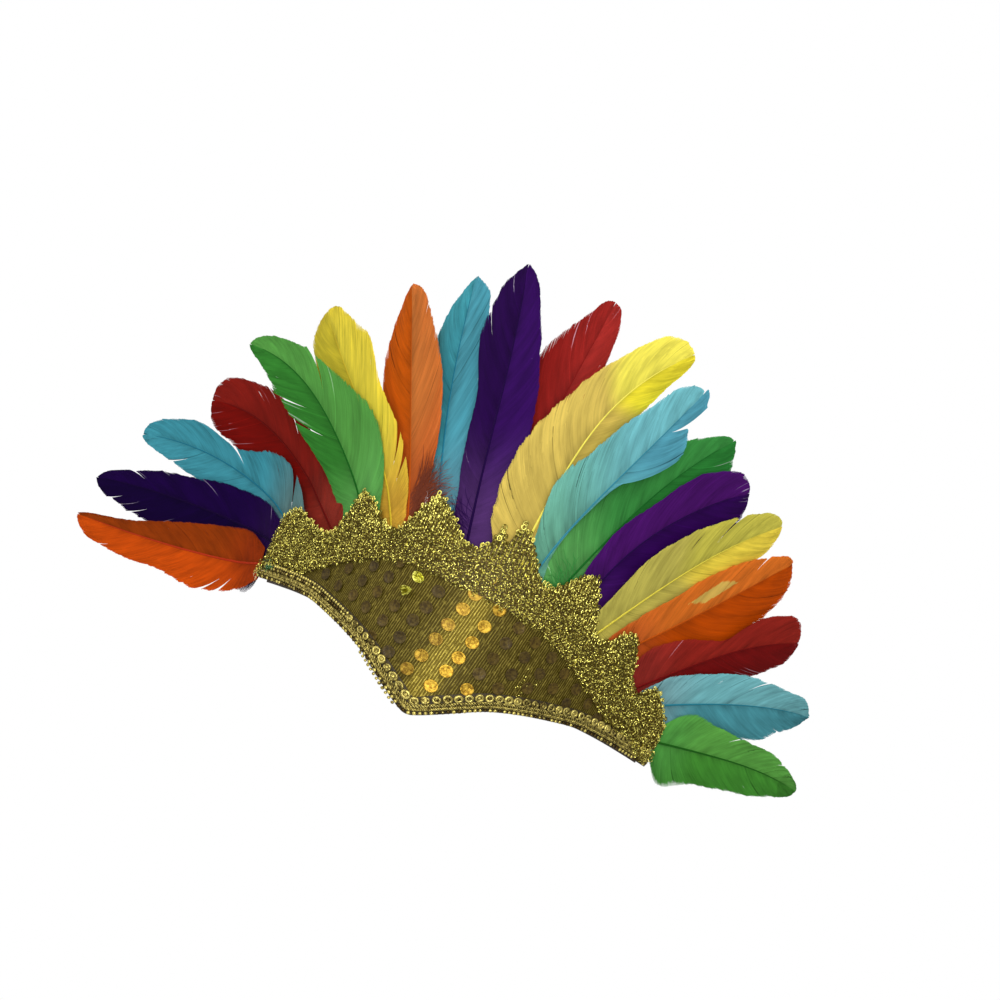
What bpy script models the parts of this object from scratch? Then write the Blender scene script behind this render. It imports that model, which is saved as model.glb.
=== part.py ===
"""Carnival feather headdress: a half crown of sequin cloth with braid, lace and nineteen feathers.

The band is drawn flat, as it is sewn: an arc length to the right of the middle, a height above the
lowest point of the peak, and a depth outwards from the face that rests on the forehead. One function,
band_point, then bends every piece round the same curve.
+X is the viewer's right, +Y points back towards the head and +Z is up.
The origin is the middle of the band's inner face, level with the elastic.
"""
import math

import bmesh
import bpy

MM = 0.001

# Bend of the band, seen from above
NOSE_RADIUS = 39 * MM
SIDE_ANGLE = math.radians(49)
HALF_ARC = 124 * MM

# Heights of the band above the lowest point of the peak
PANEL_HEIGHT = 74 * MM
ARCH_HEIGHT = 23 * MM
PEAK_ROUNDING = 2.5 * MM
BROW_HEIGHT = 31 * MM

# Walls and clearances, from the forehead outwards
CLEARANCE = 0.3 * MM
LINING_WALL = 1.2 * MM
QUILL_DIAMETER = 1.6 * MM
LAYER_STEP = 0.85 * MM
PANEL_WALL = 1.6 * MM
LACE_WALL = 1.5 * MM
BRAID_WALL = 2.0 * MM

# Widths of the edges and trims
HEM_WIDTH = 4 * MM
LINING_RIM = 1.2 * MM
LINING_STEP_DOWN = 4 * MM
BRAID_WIDTH = 8 * MM
BRAID_OVERHANG = 0.6 * MM
LACE_ABOVE_PANEL = 4 * MM
SCALLOP_DEPTH = 16.5 * MM
LACE_OVERLAP = 15.5 * MM
LACE_SHORT_OF_END = 2.5 * MM

# Feathers
FEATHER_LENGTH = 125 * MM
VANE_WIDTH = 15 * MM
VANE_THICKNESS = 0.8 * MM
QUILL_INSET = 18 * MM
LEAN_BLEND = 15 * MM
TWIST_START = 12 * MM
QUILL_FADE = 1 / 6

# Elastic behind the head
ELASTIC_WIDTH = 10 * MM
ELASTIC_WALL = 1.2 * MM
ELASTIC_TAB = 12 * MM
HEAD_DEPTH = 165 * MM
ELASTIC_SIDE_PULL = 75 * MM
ELASTIC_BACK_PULL = 150 * MM

# Fineness of the faceted solids
BAND_STATIONS = 112
ELASTIC_STATIONS = 40
VANE_STATIONS = 14
QUILL_STATIONS = 3
VANE_SIDES = 10
PATH_STEPS = 60
NOSE_CROWDING = 0.45

# Depths that follow from the walls
ROOM_START = LINING_WALL + CLEARANCE
QUILL_ROOM = QUILL_DIAMETER + 2 * LAYER_STEP
QUILL_DEPTH = ROOM_START + QUILL_ROOM / 2
PANEL_BACK = ROOM_START + QUILL_ROOM + CLEARANCE
PANEL_FRONT = PANEL_BACK + PANEL_WALL
TRIM_BACK = PANEL_FRONT + CLEARANCE

# Edges of the flat band: place as a share of HALF_ARC, height as a share of the height named
LOWER_EDGE = [(0.00, 0.00), (0.12, 0.40), (0.21, 0.65), (0.32, 0.82), (0.45, 0.94),
              (0.56, 1.00), (0.70, 0.965), (0.87, 0.86), (1.00, 0.76)]
UPPER_EDGE = [(0.00, 1.00), (0.25, 0.96), (0.36, 0.90), (0.54, 0.79), (0.67, 0.68),
              (0.80, 0.575), (1.00, 0.49)]

# Peaks and valleys of the lace: place as a share of HALF_ARC, rise as a share of SCALLOP_DEPTH
SCALLOPS = [(-1.00, 0.30), (-0.89, 0.75), (-0.62, -0.15), (-0.555, 0.88), (-0.32, -0.20),
            (-0.205, 0.87), (-0.025, 0.00), (0.09, 0.98), (0.225, 0.00), (0.39, 1.12),
            (0.505, 0.00), (0.665, 1.00), (0.757, 0.00), (0.865, 0.55), (1.00, -0.10)]
# How far the lace hangs below the panel's upper edge, as a share of LACE_OVERLAP
LACE_HANG = [(0.00, 1.00), (0.20, 0.95), (0.36, 0.98), (0.56, 1.15), (0.70, 1.20),
             (0.85, 1.25), (1.00, 1.10)]

# Colours and finishes: base colour, roughness, metallic
ORANGE = ("feather_orange", (0.72, 0.16, 0.01), 0.65, 0.0)
PURPLE = ("feather_purple", (0.05, 0.005, 0.12), 0.65, 0.0)
BLUE = ("feather_blue", (0.10, 0.42, 0.48), 0.65, 0.0)
RED = ("feather_red", (0.32, 0.02, 0.015), 0.65, 0.0)
GREEN = ("feather_green", (0.06, 0.30, 0.06), 0.65, 0.0)
YELLOW = ("feather_yellow", (0.80, 0.68, 0.09), 0.65, 0.0)
SEQUIN_CLOTH = ("sequin_cloth", (0.16, 0.13, 0.03), 0.45, 0.6)
LINING_FELT = ("lining_felt", (0.05, 0.035, 0.02), 0.9, 0.0)
GOLD_BRAID = ("gold_braid", (0.55, 0.46, 0.20), 0.35, 0.8)
GOLD_LACE = ("gold_lace", (0.40, 0.32, 0.08), 0.35, 0.8)
ELASTIC_CLOTH = ("elastic_cloth", (0.04, 0.035, 0.03), 0.8, 0.0)

# Places along a vane where its width is given, as shares of its length
WIDTH_PLACES = (0.15, 0.35, 0.55, 0.75, 0.93)
BASE_WIDTH_SHARE = 0.055
TIP_WIDTH_SHARE = 0.16


def feather(name, finish, seat, rise, fan, reach, free, lean, twist, layer, left, right):
    """One row of the feather table.

    seat and rise say where the vane starts, as shares of HALF_ARC and PANEL_HEIGHT.
    fan holds the shaft's angles from upright at its base, middle and tip, in degrees.
    reach is a share of FEATHER_LENGTH, and free the share of it that lies flat against the band.
    Past that, lean tips the feather outwards; twist brings its right side forward, in degrees.
    layer is its place in the room for quills, in LAYER_STEP.
    left and right are the vane's widths at WIDTH_PLACES, as shares of VANE_WIDTH.
    """
    return {"name": name, "finish": finish, "seat": seat, "rise": rise, "fan": fan, "reach": reach,
            "free": free, "lean": lean, "twist": twist, "layer": layer, "left": left, "right": right}


FEATHERS = [
    feather("feather_01_orange", ORANGE, seat=-1.00, rise=0.325, fan=(-106, -101, -96), reach=0.94,
            free=0.12, lean=25, twist=6, layer=0.4,
            left=(0.85, 1.10, 0.85, 0.80, 0.60), right=(1.05, 1.00, 0.75, 0.40, 0.15)),
    feather("feather_02_purple", PURPLE, seat=-0.95, rise=0.475, fan=(-88, -96, -104), reach=1.01,
            free=0.15, lean=23, twist=8, layer=-0.2,
            left=(1.50, 1.10, 1.10, 1.15, 0.75), right=(0.95, 1.00, 0.85, 0.65, 0.45)),
    feather("feather_03_blue", BLUE, seat=-0.84, rise=0.54, fan=(-66, -84, -106), reach=1.05,
            free=0.24, lean=20.5, twist=8, layer=-0.2,
            left=(0.50, 0.85, 0.90, 0.65, 0.40), right=(0.95, 1.30, 0.90, 0.80, 0.55)),
    feather("feather_04_red", RED, seat=-0.63, rise=0.68, fan=(-65, -71, -100), reach=1.06,
            free=0.30, lean=13, twist=7, layer=-1,
            left=(0.75, 1.00, 1.25, 1.15, 0.60), right=(0.75, 0.90, 0.95, 0.80, 0.50)),
    feather("feather_05_green", GREEN, seat=-0.48, rise=0.80, fan=(-48, -56, -95), reach=0.99,
            free=0.15, lean=20, twist=3, layer=1,
            left=(0.30, 0.75, 1.15, 1.00, 0.50), right=(1.05, 1.60, 1.20, 0.75, 0.60)),
    feather("feather_06_yellow", YELLOW, seat=-0.36, rise=0.875, fan=(-38, -55, -49), reach=0.98,
            free=0.14, lean=11, twist=5, layer=0,
            left=(0.60, 0.95, 1.00, 1.25, 0.75), right=(0.80, 1.00, 0.95, 1.15, 1.20)),
    feather("feather_07_orange", ORANGE, seat=-0.29, rise=0.91, fan=(-30, -34, -35), reach=1.00,
            free=0.14, lean=3, twist=4, layer=-0.3,
            left=(0.45, 0.80, 1.30, 1.30, 0.50), right=(0.70, 1.20, 1.35, 1.05, 0.55)),
    feather("feather_08_blue", BLUE, seat=-0.16, rise=0.97, fan=(-28, -22, -14), reach=0.98,
            free=0.14, lean=-2, twist=0, layer=-1,
            left=(0.35, 0.60, 0.80, 1.25, 0.85), right=(0.70, 1.00, 1.10, 0.85, 0.45)),
    feather("feather_09_purple", PURPLE, seat=-0.05, rise=0.96, fan=(-14, -10, -17), reach=1.04,
            free=0.14, lean=2, twist=-2, layer=0.4,
            left=(0.45, 0.70, 0.85, 1.25, 0.80), right=(0.85, 1.00, 1.00, 0.85, 0.60)),
    feather("feather_10_red", RED, seat=0.01, rise=0.97, fan=(-2, 2, 5), reach=1.01,
            free=0.06, lean=-6, twist=0, layer=-1,
            left=(0.50, 0.90, 1.30, 1.20, 0.60), right=(0.40, 0.60, 0.70, 0.60, 0.45)),
    feather("feather_11_yellow", YELLOW, seat=0.11, rise=0.97, fan=(1, 8, 45), reach=1.02,
            free=0.14, lean=3, twist=-5, layer=0.4,
            left=(0.90, 1.35, 1.15, 0.85, 0.65), right=(0.40, 0.60, 0.75, 0.70, 0.60)),
    feather("feather_12_blue", BLUE, seat=0.175, rise=0.965, fan=(10, 18, 17), reach=0.91,
            free=0.14, lean=7, twist=-3, layer=1,
            left=(0.55, 1.10, 1.10, 0.95, 0.55), right=(0.30, 0.40, 0.50, 0.90, 0.35)),
    feather("feather_13_green", GREEN, seat=0.285, rise=0.935, fan=(18, 28, 46), reach=0.92,
            free=0.14, lean=-2, twist=0, layer=-1,
            left=(0.60, 1.10, 1.10, 1.00, 0.55), right=(0.40, 0.65, 0.85, 0.75, 0.40)),
    feather("feather_14_purple", PURPLE, seat=0.40, rise=0.85, fan=(4, 31, 54), reach=0.89,
            free=0.14, lean=0, twist=-5, layer=0,
            left=(0.55, 0.85, 0.85, 0.85, 0.55), right=(0.40, 0.75, 1.00, 1.00, 0.90)),
    feather("feather_15_yellow", YELLOW, seat=0.485, rise=0.80, fan=(34, 41, 56), reach=0.93,
            free=0.14, lean=0, twist=-6, layer=1,
            left=(0.70, 1.10, 1.15, 0.95, 0.55), right=(0.40, 0.60, 0.75, 0.80, 0.65)),
    feather("feather_16_orange", ORANGE, seat=0.58, rise=0.73, fan=(50, 47, 46), reach=0.91,
            free=0.14, lean=0, twist=-6, layer=1,
            left=(0.65, 0.95, 1.10, 1.00, 0.40), right=(0.50, 0.85, 1.10, 1.05, 0.65)),
    feather("feather_17_red", RED, seat=0.74, rise=0.60, fan=(52, 54, 70), reach=0.86,
            free=0.14, lean=0, twist=-6, layer=1,
            left=(0.85, 0.85, 0.45, 0.60, 0.65), right=(0.40, 0.80, 0.95, 1.05, 0.45)),
    feather("feather_18_blue", BLUE, seat=0.825, rise=0.55, fan=(68, 71, 82), reach=0.87,
            free=0.14, lean=3, twist=-6, layer=1,
            left=(0.80, 1.00, 0.95, 0.60, 0.55), right=(0.55, 0.95, 1.15, 1.00, 0.45)),
    feather("feather_19_green", GREEN, seat=0.985, rise=0.40, fan=(84, 86, 98), reach=0.81,
            free=0.14, lean=4, twist=-6, layer=1,
            left=(0.95, 1.00, 0.80, 0.65, 0.35), right=(0.85, 1.00, 1.00, 0.80, 0.40)),
]


def through_knots(knots, place):
    """Height of a smooth curve through (place, height) knots, read at one place."""
    last = len(knots) - 1
    if place <= knots[0][0]:
        return knots[0][1]
    if place >= knots[last][0]:
        return knots[last][1]
    span = max(k for k in range(last) if knots[k][0] <= place)

    def slope(k):
        before, after = knots[max(k - 1, 0)], knots[min(k + 1, last)]
        return (after[1] - before[1]) / (after[0] - before[0])

    (start, low), (end, high) = knots[span], knots[span + 1]
    width = end - start
    t = (place - start) / width
    return (low * (1 + 2 * t) * (1 - t) ** 2 + high * t * t * (3 - 2 * t)
            + slope(span) * width * t * (1 - t) ** 2 - slope(span + 1) * width * t * t * (1 - t))


# The band's plan is a hyperbola: round at the nose, almost straight along the sides
PLAN_WIDTH = NOSE_RADIUS * math.tan(SIDE_ANGLE)
PLAN_DEPTH = PLAN_WIDTH * math.tan(SIDE_ANGLE)
ARC_STEP = 0.25 * MM


def plan_slope(across):
    return PLAN_DEPTH / PLAN_WIDTH * (across / PLAN_WIDTH) / math.hypot(1, across / PLAN_WIDTH)


def arc_table(length):
    """Distances to the side at every ARC_STEP along the plan curve."""
    places = [0.0]
    for _ in range(math.ceil(length / ARC_STEP) + 1):
        half = places[-1] + ARC_STEP / 2 / math.hypot(1, plan_slope(places[-1]))
        places.append(places[-1] + ARC_STEP / math.hypot(1, plan_slope(half)))
    return places


ARC_TABLE = arc_table(HALF_ARC + 2 * FEATHER_LENGTH)


def band_point(arc, depth, height):
    """A place on the flat band, bent round the plan curve, in the part's own frame."""
    step = abs(arc) / ARC_STEP
    before = int(step)
    across = ARC_TABLE[before] + (ARC_TABLE[before + 1] - ARC_TABLE[before]) * (step - before)
    across = math.copysign(across, arc)
    slope = plan_slope(across)
    length = math.hypot(1, slope)
    back = PLAN_DEPTH * (math.hypot(1, across / PLAN_WIDTH) - 1)
    return (across + depth * slope / length, back - depth / length, height - BROW_HEIGHT)


def lower_edge(arc):
    rounding = PEAK_ROUNDING
    softened = math.hypot(arc, rounding) - rounding
    return ARCH_HEIGHT * through_knots(LOWER_EDGE, softened / HALF_ARC)


def upper_edge(arc):
    return PANEL_HEIGHT * through_knots(UPPER_EDGE, abs(arc) / HALF_ARC)


def lower_edge_length(arc):
    """Length of the lower edge for each unit of arc, so that trim along it keeps its width."""
    probe = ARC_STEP
    return math.hypot(1, (lower_edge(arc + probe) - lower_edge(arc - probe)) / (2 * probe))


def scallop(arc):
    """Height of the lace's upper edge above its valleys, with round peaks and valleys."""
    place = arc / HALF_ARC
    for (start, low), (end, high) in zip(SCALLOPS, SCALLOPS[1:]):
        if place <= end:
            break
    share = min(1.0, max(0.0, (place - start) / (end - start)))
    return SCALLOP_DEPTH * (low + (high - low) * (0.5 - 0.5 * math.cos(math.pi * share)))


def lace_top(arc):
    return upper_edge(arc) + LACE_ABOVE_PANEL + scallop(arc)


def lace_bottom(arc):
    hang = upper_edge(arc) - LACE_OVERLAP * through_knots(LACE_HANG, abs(arc) / HALF_ARC)
    return max(hang, braid_top(arc) + CLEARANCE)


def braid_top(arc):
    return lower_edge(arc) - BRAID_OVERHANG + BRAID_WIDTH * lower_edge_length(arc)


def make_material(finish):
    name, colour, roughness, metallic = finish
    material = bpy.data.materials.get(name)
    if material is None:
        material = bpy.data.materials.new(name)
        material.use_nodes = True
        shader = material.node_tree.nodes["Principled BSDF"]
        shader.inputs["Base Color"].default_value = (*colour, 1.0)
        shader.inputs["Roughness"].default_value = roughness
        shader.inputs["Metallic"].default_value = metallic
    return material


def make_loft(name, rings, finish, sharp_angle=40):
    """A closed body through rings of points, with a flat cap on each end."""
    work = bmesh.new()
    loops = [[work.verts.new(point) for point in ring] for ring in rings]
    sides = len(loops[0])
    for first, second in zip(loops, loops[1:]):
        for k in range(sides):
            after = (k + 1) % sides
            work.faces.new((first[k], first[after], second[after], second[k]))
    work.faces.new(loops[0])
    work.faces.new(loops[-1])
    bmesh.ops.recalc_face_normals(work, faces=work.faces)
    mesh = bpy.data.meshes.new(name)
    work.to_mesh(mesh)
    work.free()
    mesh.materials.append(make_material(finish))
    mesh.shade_smooth()
    mesh.set_sharp_from_angle(angle=math.radians(sharp_angle))
    piece = bpy.data.objects.new(name, mesh)
    bpy.context.scene.collection.objects.link(piece)
    return piece


def arc_places(count, half_length=HALF_ARC):
    """Places along the band, closer together where it bends round the nose."""
    places = []
    for k in range(count + 1):
        share = 2 * k / count - 1
        eased = (1 - NOSE_CROWDING) * share + NOSE_CROWDING * share * abs(share)
        places.append(half_length * eased)
    return places


def make_front_panel():
    """Sequin cloth on a stiff board, with the lower edge turned in to meet the lining."""
    rings = []
    for arc in arc_places(BAND_STATIONS):
        low, high = lower_edge(arc), upper_edge(arc)
        section = [(PANEL_FRONT, low), (PANEL_FRONT, high), (PANEL_BACK, high),
                   (PANEL_BACK, low + HEM_WIDTH), (ROOM_START, low + HEM_WIDTH), (ROOM_START, low)]
        rings.append([band_point(arc, depth, height) for depth, height in section])
    return make_loft("front_panel", rings, SEQUIN_CLOTH)


def make_back_lining():
    """Felt against the forehead, a little longer than the panel at the lower edge."""
    rings = []
    for arc in arc_places(BAND_STATIONS):
        low = lower_edge(arc) - LINING_RIM
        high = upper_edge(arc) - LINING_STEP_DOWN
        section = [(0, low), (LINING_WALL, low), (LINING_WALL, high), (0, high)]
        rings.append([band_point(arc, depth, height) for depth, height in section])
    return make_loft("back_lining", rings, LINING_FELT)


def make_braid():
    """A domed ribbon along the lower edge."""
    rings = []
    edge_depth = TRIM_BACK + BRAID_WALL / 2
    crown_depth = TRIM_BACK + BRAID_WALL
    for arc in arc_places(BAND_STATIONS):
        low = lower_edge(arc) - BRAID_OVERHANG
        width = braid_top(arc) - low
        section = [(TRIM_BACK, low), (edge_depth, low), (crown_depth, low + width / 4),
                   (crown_depth, low + width * 3 / 4), (edge_depth, low + width),
                   (TRIM_BACK, low + width)]
        rings.append([band_point(arc, depth, height) for depth, height in section])
    return make_loft("braid_trim", rings, GOLD_BRAID)


def make_lace():
    """Scalloped lace over the upper edge, hanging down to the braid at both ends."""
    rings = []
    front = TRIM_BACK + LACE_WALL
    for arc in arc_places(BAND_STATIONS, HALF_ARC - LACE_SHORT_OF_END):
        low = lace_bottom(arc) + CLEARANCE
        high = lace_top(arc)
        section = [(TRIM_BACK, low), (front, low), (front, high), (TRIM_BACK, high)]
        rings.append([band_point(arc, depth, height) for depth, height in section])
    return make_loft("lace_trim", rings, GOLD_LACE)


def feather_shaft(row):
    """Places along the flat shaft from the vane's start to its tip: arc, height, angle, distance."""
    length = row["reach"] * FEATHER_LENGTH
    knots = [(0.0, row["fan"][0]), (0.5, row["fan"][1]), (1.0, row["fan"][2])]
    arc, height = row["seat"] * HALF_ARC, row["rise"] * PANEL_HEIGHT
    step = length / PATH_STEPS
    shaft = []
    for k in range(PATH_STEPS + 1):
        angle = math.radians(through_knots(knots, k / PATH_STEPS))
        shaft.append((arc, height, angle, k * step))
        middle = math.radians(through_knots(knots, min(1.0, (k + 0.5) / PATH_STEPS)))
        arc += step * math.sin(middle)
        height += step * math.cos(middle)
    return shaft


def vane_width(row, side, share):
    knots = [(0.0, BASE_WIDTH_SHARE)]
    knots += list(zip(WIDTH_PLACES, row[side]))
    knots.append((1.0, TIP_WIDTH_SHARE))
    return VANE_WIDTH * through_knots(knots, share)


def feather_depth(row, along, across):
    """Depth of a feather's middle surface at a distance along its shaft and to its right."""
    past = max(0.0, along - row["free"] * row["reach"] * FEATHER_LENGTH)
    lean = math.tan(math.radians(row["lean"])) * (math.hypot(past, LEAN_BLEND) - LEAN_BLEND)
    turned = min(1.0, max(0.0, along / TWIST_START))
    twist = math.sin(math.radians(row["twist"])) * turned * across
    return QUILL_DEPTH + row["layer"] * LAYER_STEP + lean + twist


def make_feather(row):
    """A closed blade on a round quill; the quill lies between the panel and the lining."""
    shaft = feather_shaft(row)
    arc, height, angle, _ = shaft[0]
    rings = []

    def add_ring(place, left, right, half_thickness):
        arc_here, height_here, turn, along = place
        ring = []
        for k in range(VANE_SIDES):
            round_angle = 2 * math.pi * k / VANE_SIDES
            across = math.cos(round_angle)
            across *= right if across > 0 else left
            depth = feather_depth(row, along, across) + half_thickness * math.sin(round_angle)
            ring.append(band_point(arc_here + across * math.cos(turn), depth,
                                   height_here - across * math.sin(turn)))
        rings.append(ring)

    quill_radius = QUILL_DIAMETER / 2
    for k in range(QUILL_STATIONS):
        back = QUILL_INSET * (1 - k / QUILL_STATIONS)
        place = (arc - back * math.sin(angle), height - back * math.cos(angle), angle, 0.0)
        add_ring(place, quill_radius, quill_radius, quill_radius)
    for k in range(VANE_STATIONS + 1):
        share = k / VANE_STATIONS
        place = shaft[round(share * PATH_STEPS)]
        thickness = max(VANE_THICKNESS, QUILL_DIAMETER * (1 - share / QUILL_FADE))
        add_ring(place, vane_width(row, "left", share), vane_width(row, "right", share),
                 thickness / 2)
    return make_loft(row["name"], rings, row["finish"], sharp_angle=180)


def make_elastic():
    """A flat strap: a tab behind each end of the band, and one even bow round the head."""
    centre_depth = -CLEARANCE - ELASTIC_WALL / 2
    tab_start = HALF_ARC - ELASTIC_TAB
    end = band_point(HALF_ARC, centre_depth, 0)
    slope = plan_slope(ARC_TABLE[round(HALF_ARC / ARC_STEP)])
    slope_length = math.hypot(1, slope)
    side_pull = (ELASTIC_SIDE_PULL / slope_length, ELASTIC_SIDE_PULL * slope / slope_length)
    route = []
    tab_stations = 3
    for k in range(tab_stations):
        arc = tab_start + ELASTIC_TAB * k / tab_stations
        route.append(band_point(arc, centre_depth, 0)[:2])
    half = ELASTIC_STATIONS // 2
    for k in range(half + 1):
        t = k / half
        start_share = (1 + 2 * t) * (1 - t) ** 2
        end_share = t * t * (3 - 2 * t)
        across = start_share * end[0] + side_pull[0] * t * (1 - t) ** 2
        across += ELASTIC_BACK_PULL * t * t * (1 - t)
        back = start_share * end[1] + side_pull[1] * t * (1 - t) ** 2 + end_share * HEAD_DEPTH
        route.append((across, back))
    route += [(-across, back) for across, back in reversed(route[:-1])]
    rings = []
    for k, (across, back) in enumerate(route):
        before, after = route[max(k - 1, 0)], route[min(k + 1, len(route) - 1)]
        along = (after[0] - before[0], after[1] - before[1])
        length = math.hypot(*along)
        side = (along[1] / length * ELASTIC_WALL / 2, -along[0] / length * ELASTIC_WALL / 2)
        ring = []
        for face, edge in ((1, -1), (1, 1), (-1, 1), (-1, -1)):
            ring.append((across + face * side[0], back + face * side[1], edge * ELASTIC_WIDTH / 2))
        rings.append(ring)
    return make_loft("elastic_strap", rings, ELASTIC_CLOTH)


def main():
    for old in list(bpy.data.objects):
        bpy.data.objects.remove(old, do_unlink=True)
    make_front_panel()
    make_back_lining()
    make_braid()
    make_lace()
    for row in FEATHERS:
        make_feather(row)
    make_elastic()


main()
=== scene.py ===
"""Looks of the carnival feather headdress: barbed feathers, sequin cloth, gold lace and looped braid.

Every piece is first laid out flat, as it is sewn, in metres: x is the arc along the band, y points
back towards the head and z is up. bend() then takes it round the head. A feather is laid out straight
before that: x is across, y along the shaft and z towards the viewer.
"""

import math

import bpy
import numpy as np
from mathutils import Matrix, Vector


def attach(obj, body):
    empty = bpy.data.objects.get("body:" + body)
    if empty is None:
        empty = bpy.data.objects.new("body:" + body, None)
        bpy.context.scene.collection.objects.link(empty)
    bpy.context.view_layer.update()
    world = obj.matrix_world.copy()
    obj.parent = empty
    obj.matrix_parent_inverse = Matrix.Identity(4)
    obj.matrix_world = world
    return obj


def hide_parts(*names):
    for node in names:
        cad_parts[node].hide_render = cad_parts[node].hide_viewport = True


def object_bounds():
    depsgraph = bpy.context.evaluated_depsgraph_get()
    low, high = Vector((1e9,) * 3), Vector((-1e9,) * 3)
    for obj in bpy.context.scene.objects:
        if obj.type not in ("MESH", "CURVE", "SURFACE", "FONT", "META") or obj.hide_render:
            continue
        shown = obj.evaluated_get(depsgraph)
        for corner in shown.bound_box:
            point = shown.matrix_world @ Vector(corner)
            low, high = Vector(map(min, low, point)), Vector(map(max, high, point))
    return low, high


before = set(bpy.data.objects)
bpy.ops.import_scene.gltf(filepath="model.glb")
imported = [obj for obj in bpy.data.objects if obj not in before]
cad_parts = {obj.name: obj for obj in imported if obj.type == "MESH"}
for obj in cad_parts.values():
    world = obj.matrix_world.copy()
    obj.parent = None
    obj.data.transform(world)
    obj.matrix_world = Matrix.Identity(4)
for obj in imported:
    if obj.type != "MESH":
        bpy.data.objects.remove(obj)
cad_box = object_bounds()

MM = 0.001

# Sizes that the CAD part has too
NOSE_RADIUS = 39 * MM
SIDE_ANGLE = math.radians(49)
HALF_ARC = 124 * MM
PANEL_HEIGHT = 74 * MM
ARCH_HEIGHT = 23 * MM
PEAK_ROUNDING = 2.5 * MM
BROW_HEIGHT = 31 * MM
CLEARANCE = 0.3 * MM
LINING_WALL = 1.2 * MM
QUILL_DIAMETER = 1.6 * MM
LAYER_STEP = 0.85 * MM
PANEL_WALL = 1.6 * MM
HEM_WIDTH = 4 * MM
LINING_RIM = 1.2 * MM
LINING_STEP_DOWN = 4 * MM
BRAID_WIDTH = 8 * MM
BRAID_OVERHANG = 0.6 * MM
LACE_ABOVE_PANEL = 4 * MM
SCALLOP_DEPTH = 16.5 * MM
LACE_OVERLAP = 15.5 * MM
LACE_SHORT_OF_END = 2.5 * MM
FEATHER_LENGTH = 125 * MM
VANE_WIDTH = 15 * MM
QUILL_INSET = 18 * MM
LEAN_BLEND = 15 * MM
TWIST_START = 12 * MM
ELASTIC_WIDTH = 10 * MM
ELASTIC_WALL = 1.2 * MM
ELASTIC_TAB = 12 * MM
HEAD_DEPTH = 165 * MM
ELASTIC_SIDE_PULL = 75 * MM
ELASTIC_BACK_PULL = 150 * MM
ROOM_START = LINING_WALL + CLEARANCE
QUILL_ROOM = QUILL_DIAMETER + 2 * LAYER_STEP
QUILL_DEPTH = ROOM_START + QUILL_ROOM / 2
PANEL_BACK = ROOM_START + QUILL_ROOM + CLEARANCE
PANEL_FRONT = PANEL_BACK + PANEL_WALL
TRIM_BACK = PANEL_FRONT + CLEARANCE

# Sizes that the looks alone have: the band ends a little short of the solids
LEFT_TRIM = 5.8 * MM
RIGHT_TRIM = 3.3 * MM
FINGER = 3.6 * MM
FINGER_RISE = 4 * MM
FINGER_SPREAD = 1.5 * MM
FINGER_GAP = 6.8 * MM
FINGER_GAP_DEPTH = 7 * MM
FINGER_GAP_SPREAD = 1.3 * MM

# Edges of the flat band: place as a share of HALF_ARC, height as a share of the height named
LOWER_EDGE = [(0.00, 0.00), (0.12, 0.40), (0.21, 0.65), (0.32, 0.82), (0.45, 0.94),
              (0.56, 1.00), (0.70, 0.965), (0.87, 0.86), (1.00, 0.76)]
UPPER_EDGE = [(0.00, 1.00), (0.25, 0.96), (0.36, 0.90), (0.54, 0.79), (0.67, 0.68),
              (0.80, 0.575), (1.00, 0.49)]
SCALLOPS = [(-1.00, 0.30), (-0.89, 0.75), (-0.62, -0.15), (-0.555, 0.88), (-0.32, -0.20),
            (-0.205, 0.87), (-0.025, 0.00), (0.09, 0.98), (0.225, 0.00), (0.39, 1.12),
            (0.505, 0.00), (0.665, 1.00), (0.757, 0.00), (0.865, 0.55), (1.00, -0.10)]
LACE_HANG = [(0.00, 1.00), (0.20, 0.95), (0.36, 0.98), (0.56, 1.15), (0.70, 1.20),
             (0.85, 1.25), (1.00, 1.10)]


def through_knots(knots, place):
    """Heights of a smooth curve through (place, height) knots, read at one place or many."""
    at = np.array([k[0] for k in knots], float)
    high = np.array([k[1] for k in knots], float)
    place = np.clip(place, at[0], at[-1])
    last = len(at) - 1
    slopes = np.array([(high[min(k + 1, last)] - high[max(k - 1, 0)])
                       / (at[min(k + 1, last)] - at[max(k - 1, 0)]) for k in range(last + 1)])
    span = np.clip(np.searchsorted(at, place, side="right") - 1, 0, last - 1)
    width = at[span + 1] - at[span]
    t = (place - at[span]) / width
    return (high[span] * (1 + 2 * t) * (1 - t) ** 2 + high[span + 1] * t * t * (3 - 2 * t)
            + slopes[span] * width * t * (1 - t) ** 2
            - slopes[span + 1] * width * t * t * (1 - t))


# Plan curve of the band
PLAN_WIDTH = NOSE_RADIUS * math.tan(SIDE_ANGLE)
PLAN_DEPTH = PLAN_WIDTH * math.tan(SIDE_ANGLE)
ACROSS_AT = np.linspace(-0.34, 0.34, 13601)
_run = np.hypot(np.diff(ACROSS_AT),
                np.diff(PLAN_DEPTH * (np.hypot(1, ACROSS_AT / PLAN_WIDTH) - 1)))
ARC_AT = np.concatenate([[0.0], np.cumsum(_run)])
ARC_AT -= np.interp(0.0, ACROSS_AT, ARC_AT)


def plan_slope(across):
    return PLAN_DEPTH / PLAN_WIDTH * (across / PLAN_WIDTH) / np.hypot(1, across / PLAN_WIDTH)


def bend(flat):
    """Takes flat places (arc, back, up) round the head."""
    arc, depth, height = flat[:, 0], -flat[:, 1], flat[:, 2]
    across = np.interp(arc, ARC_AT, ACROSS_AT)
    slope = plan_slope(across)
    length = np.hypot(1, slope)
    back = PLAN_DEPTH * (np.hypot(1, across / PLAN_WIDTH) - 1)
    return np.stack([across + depth * slope / length, back - depth / length,
                     height - BROW_HEIGHT], axis=1)


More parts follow.
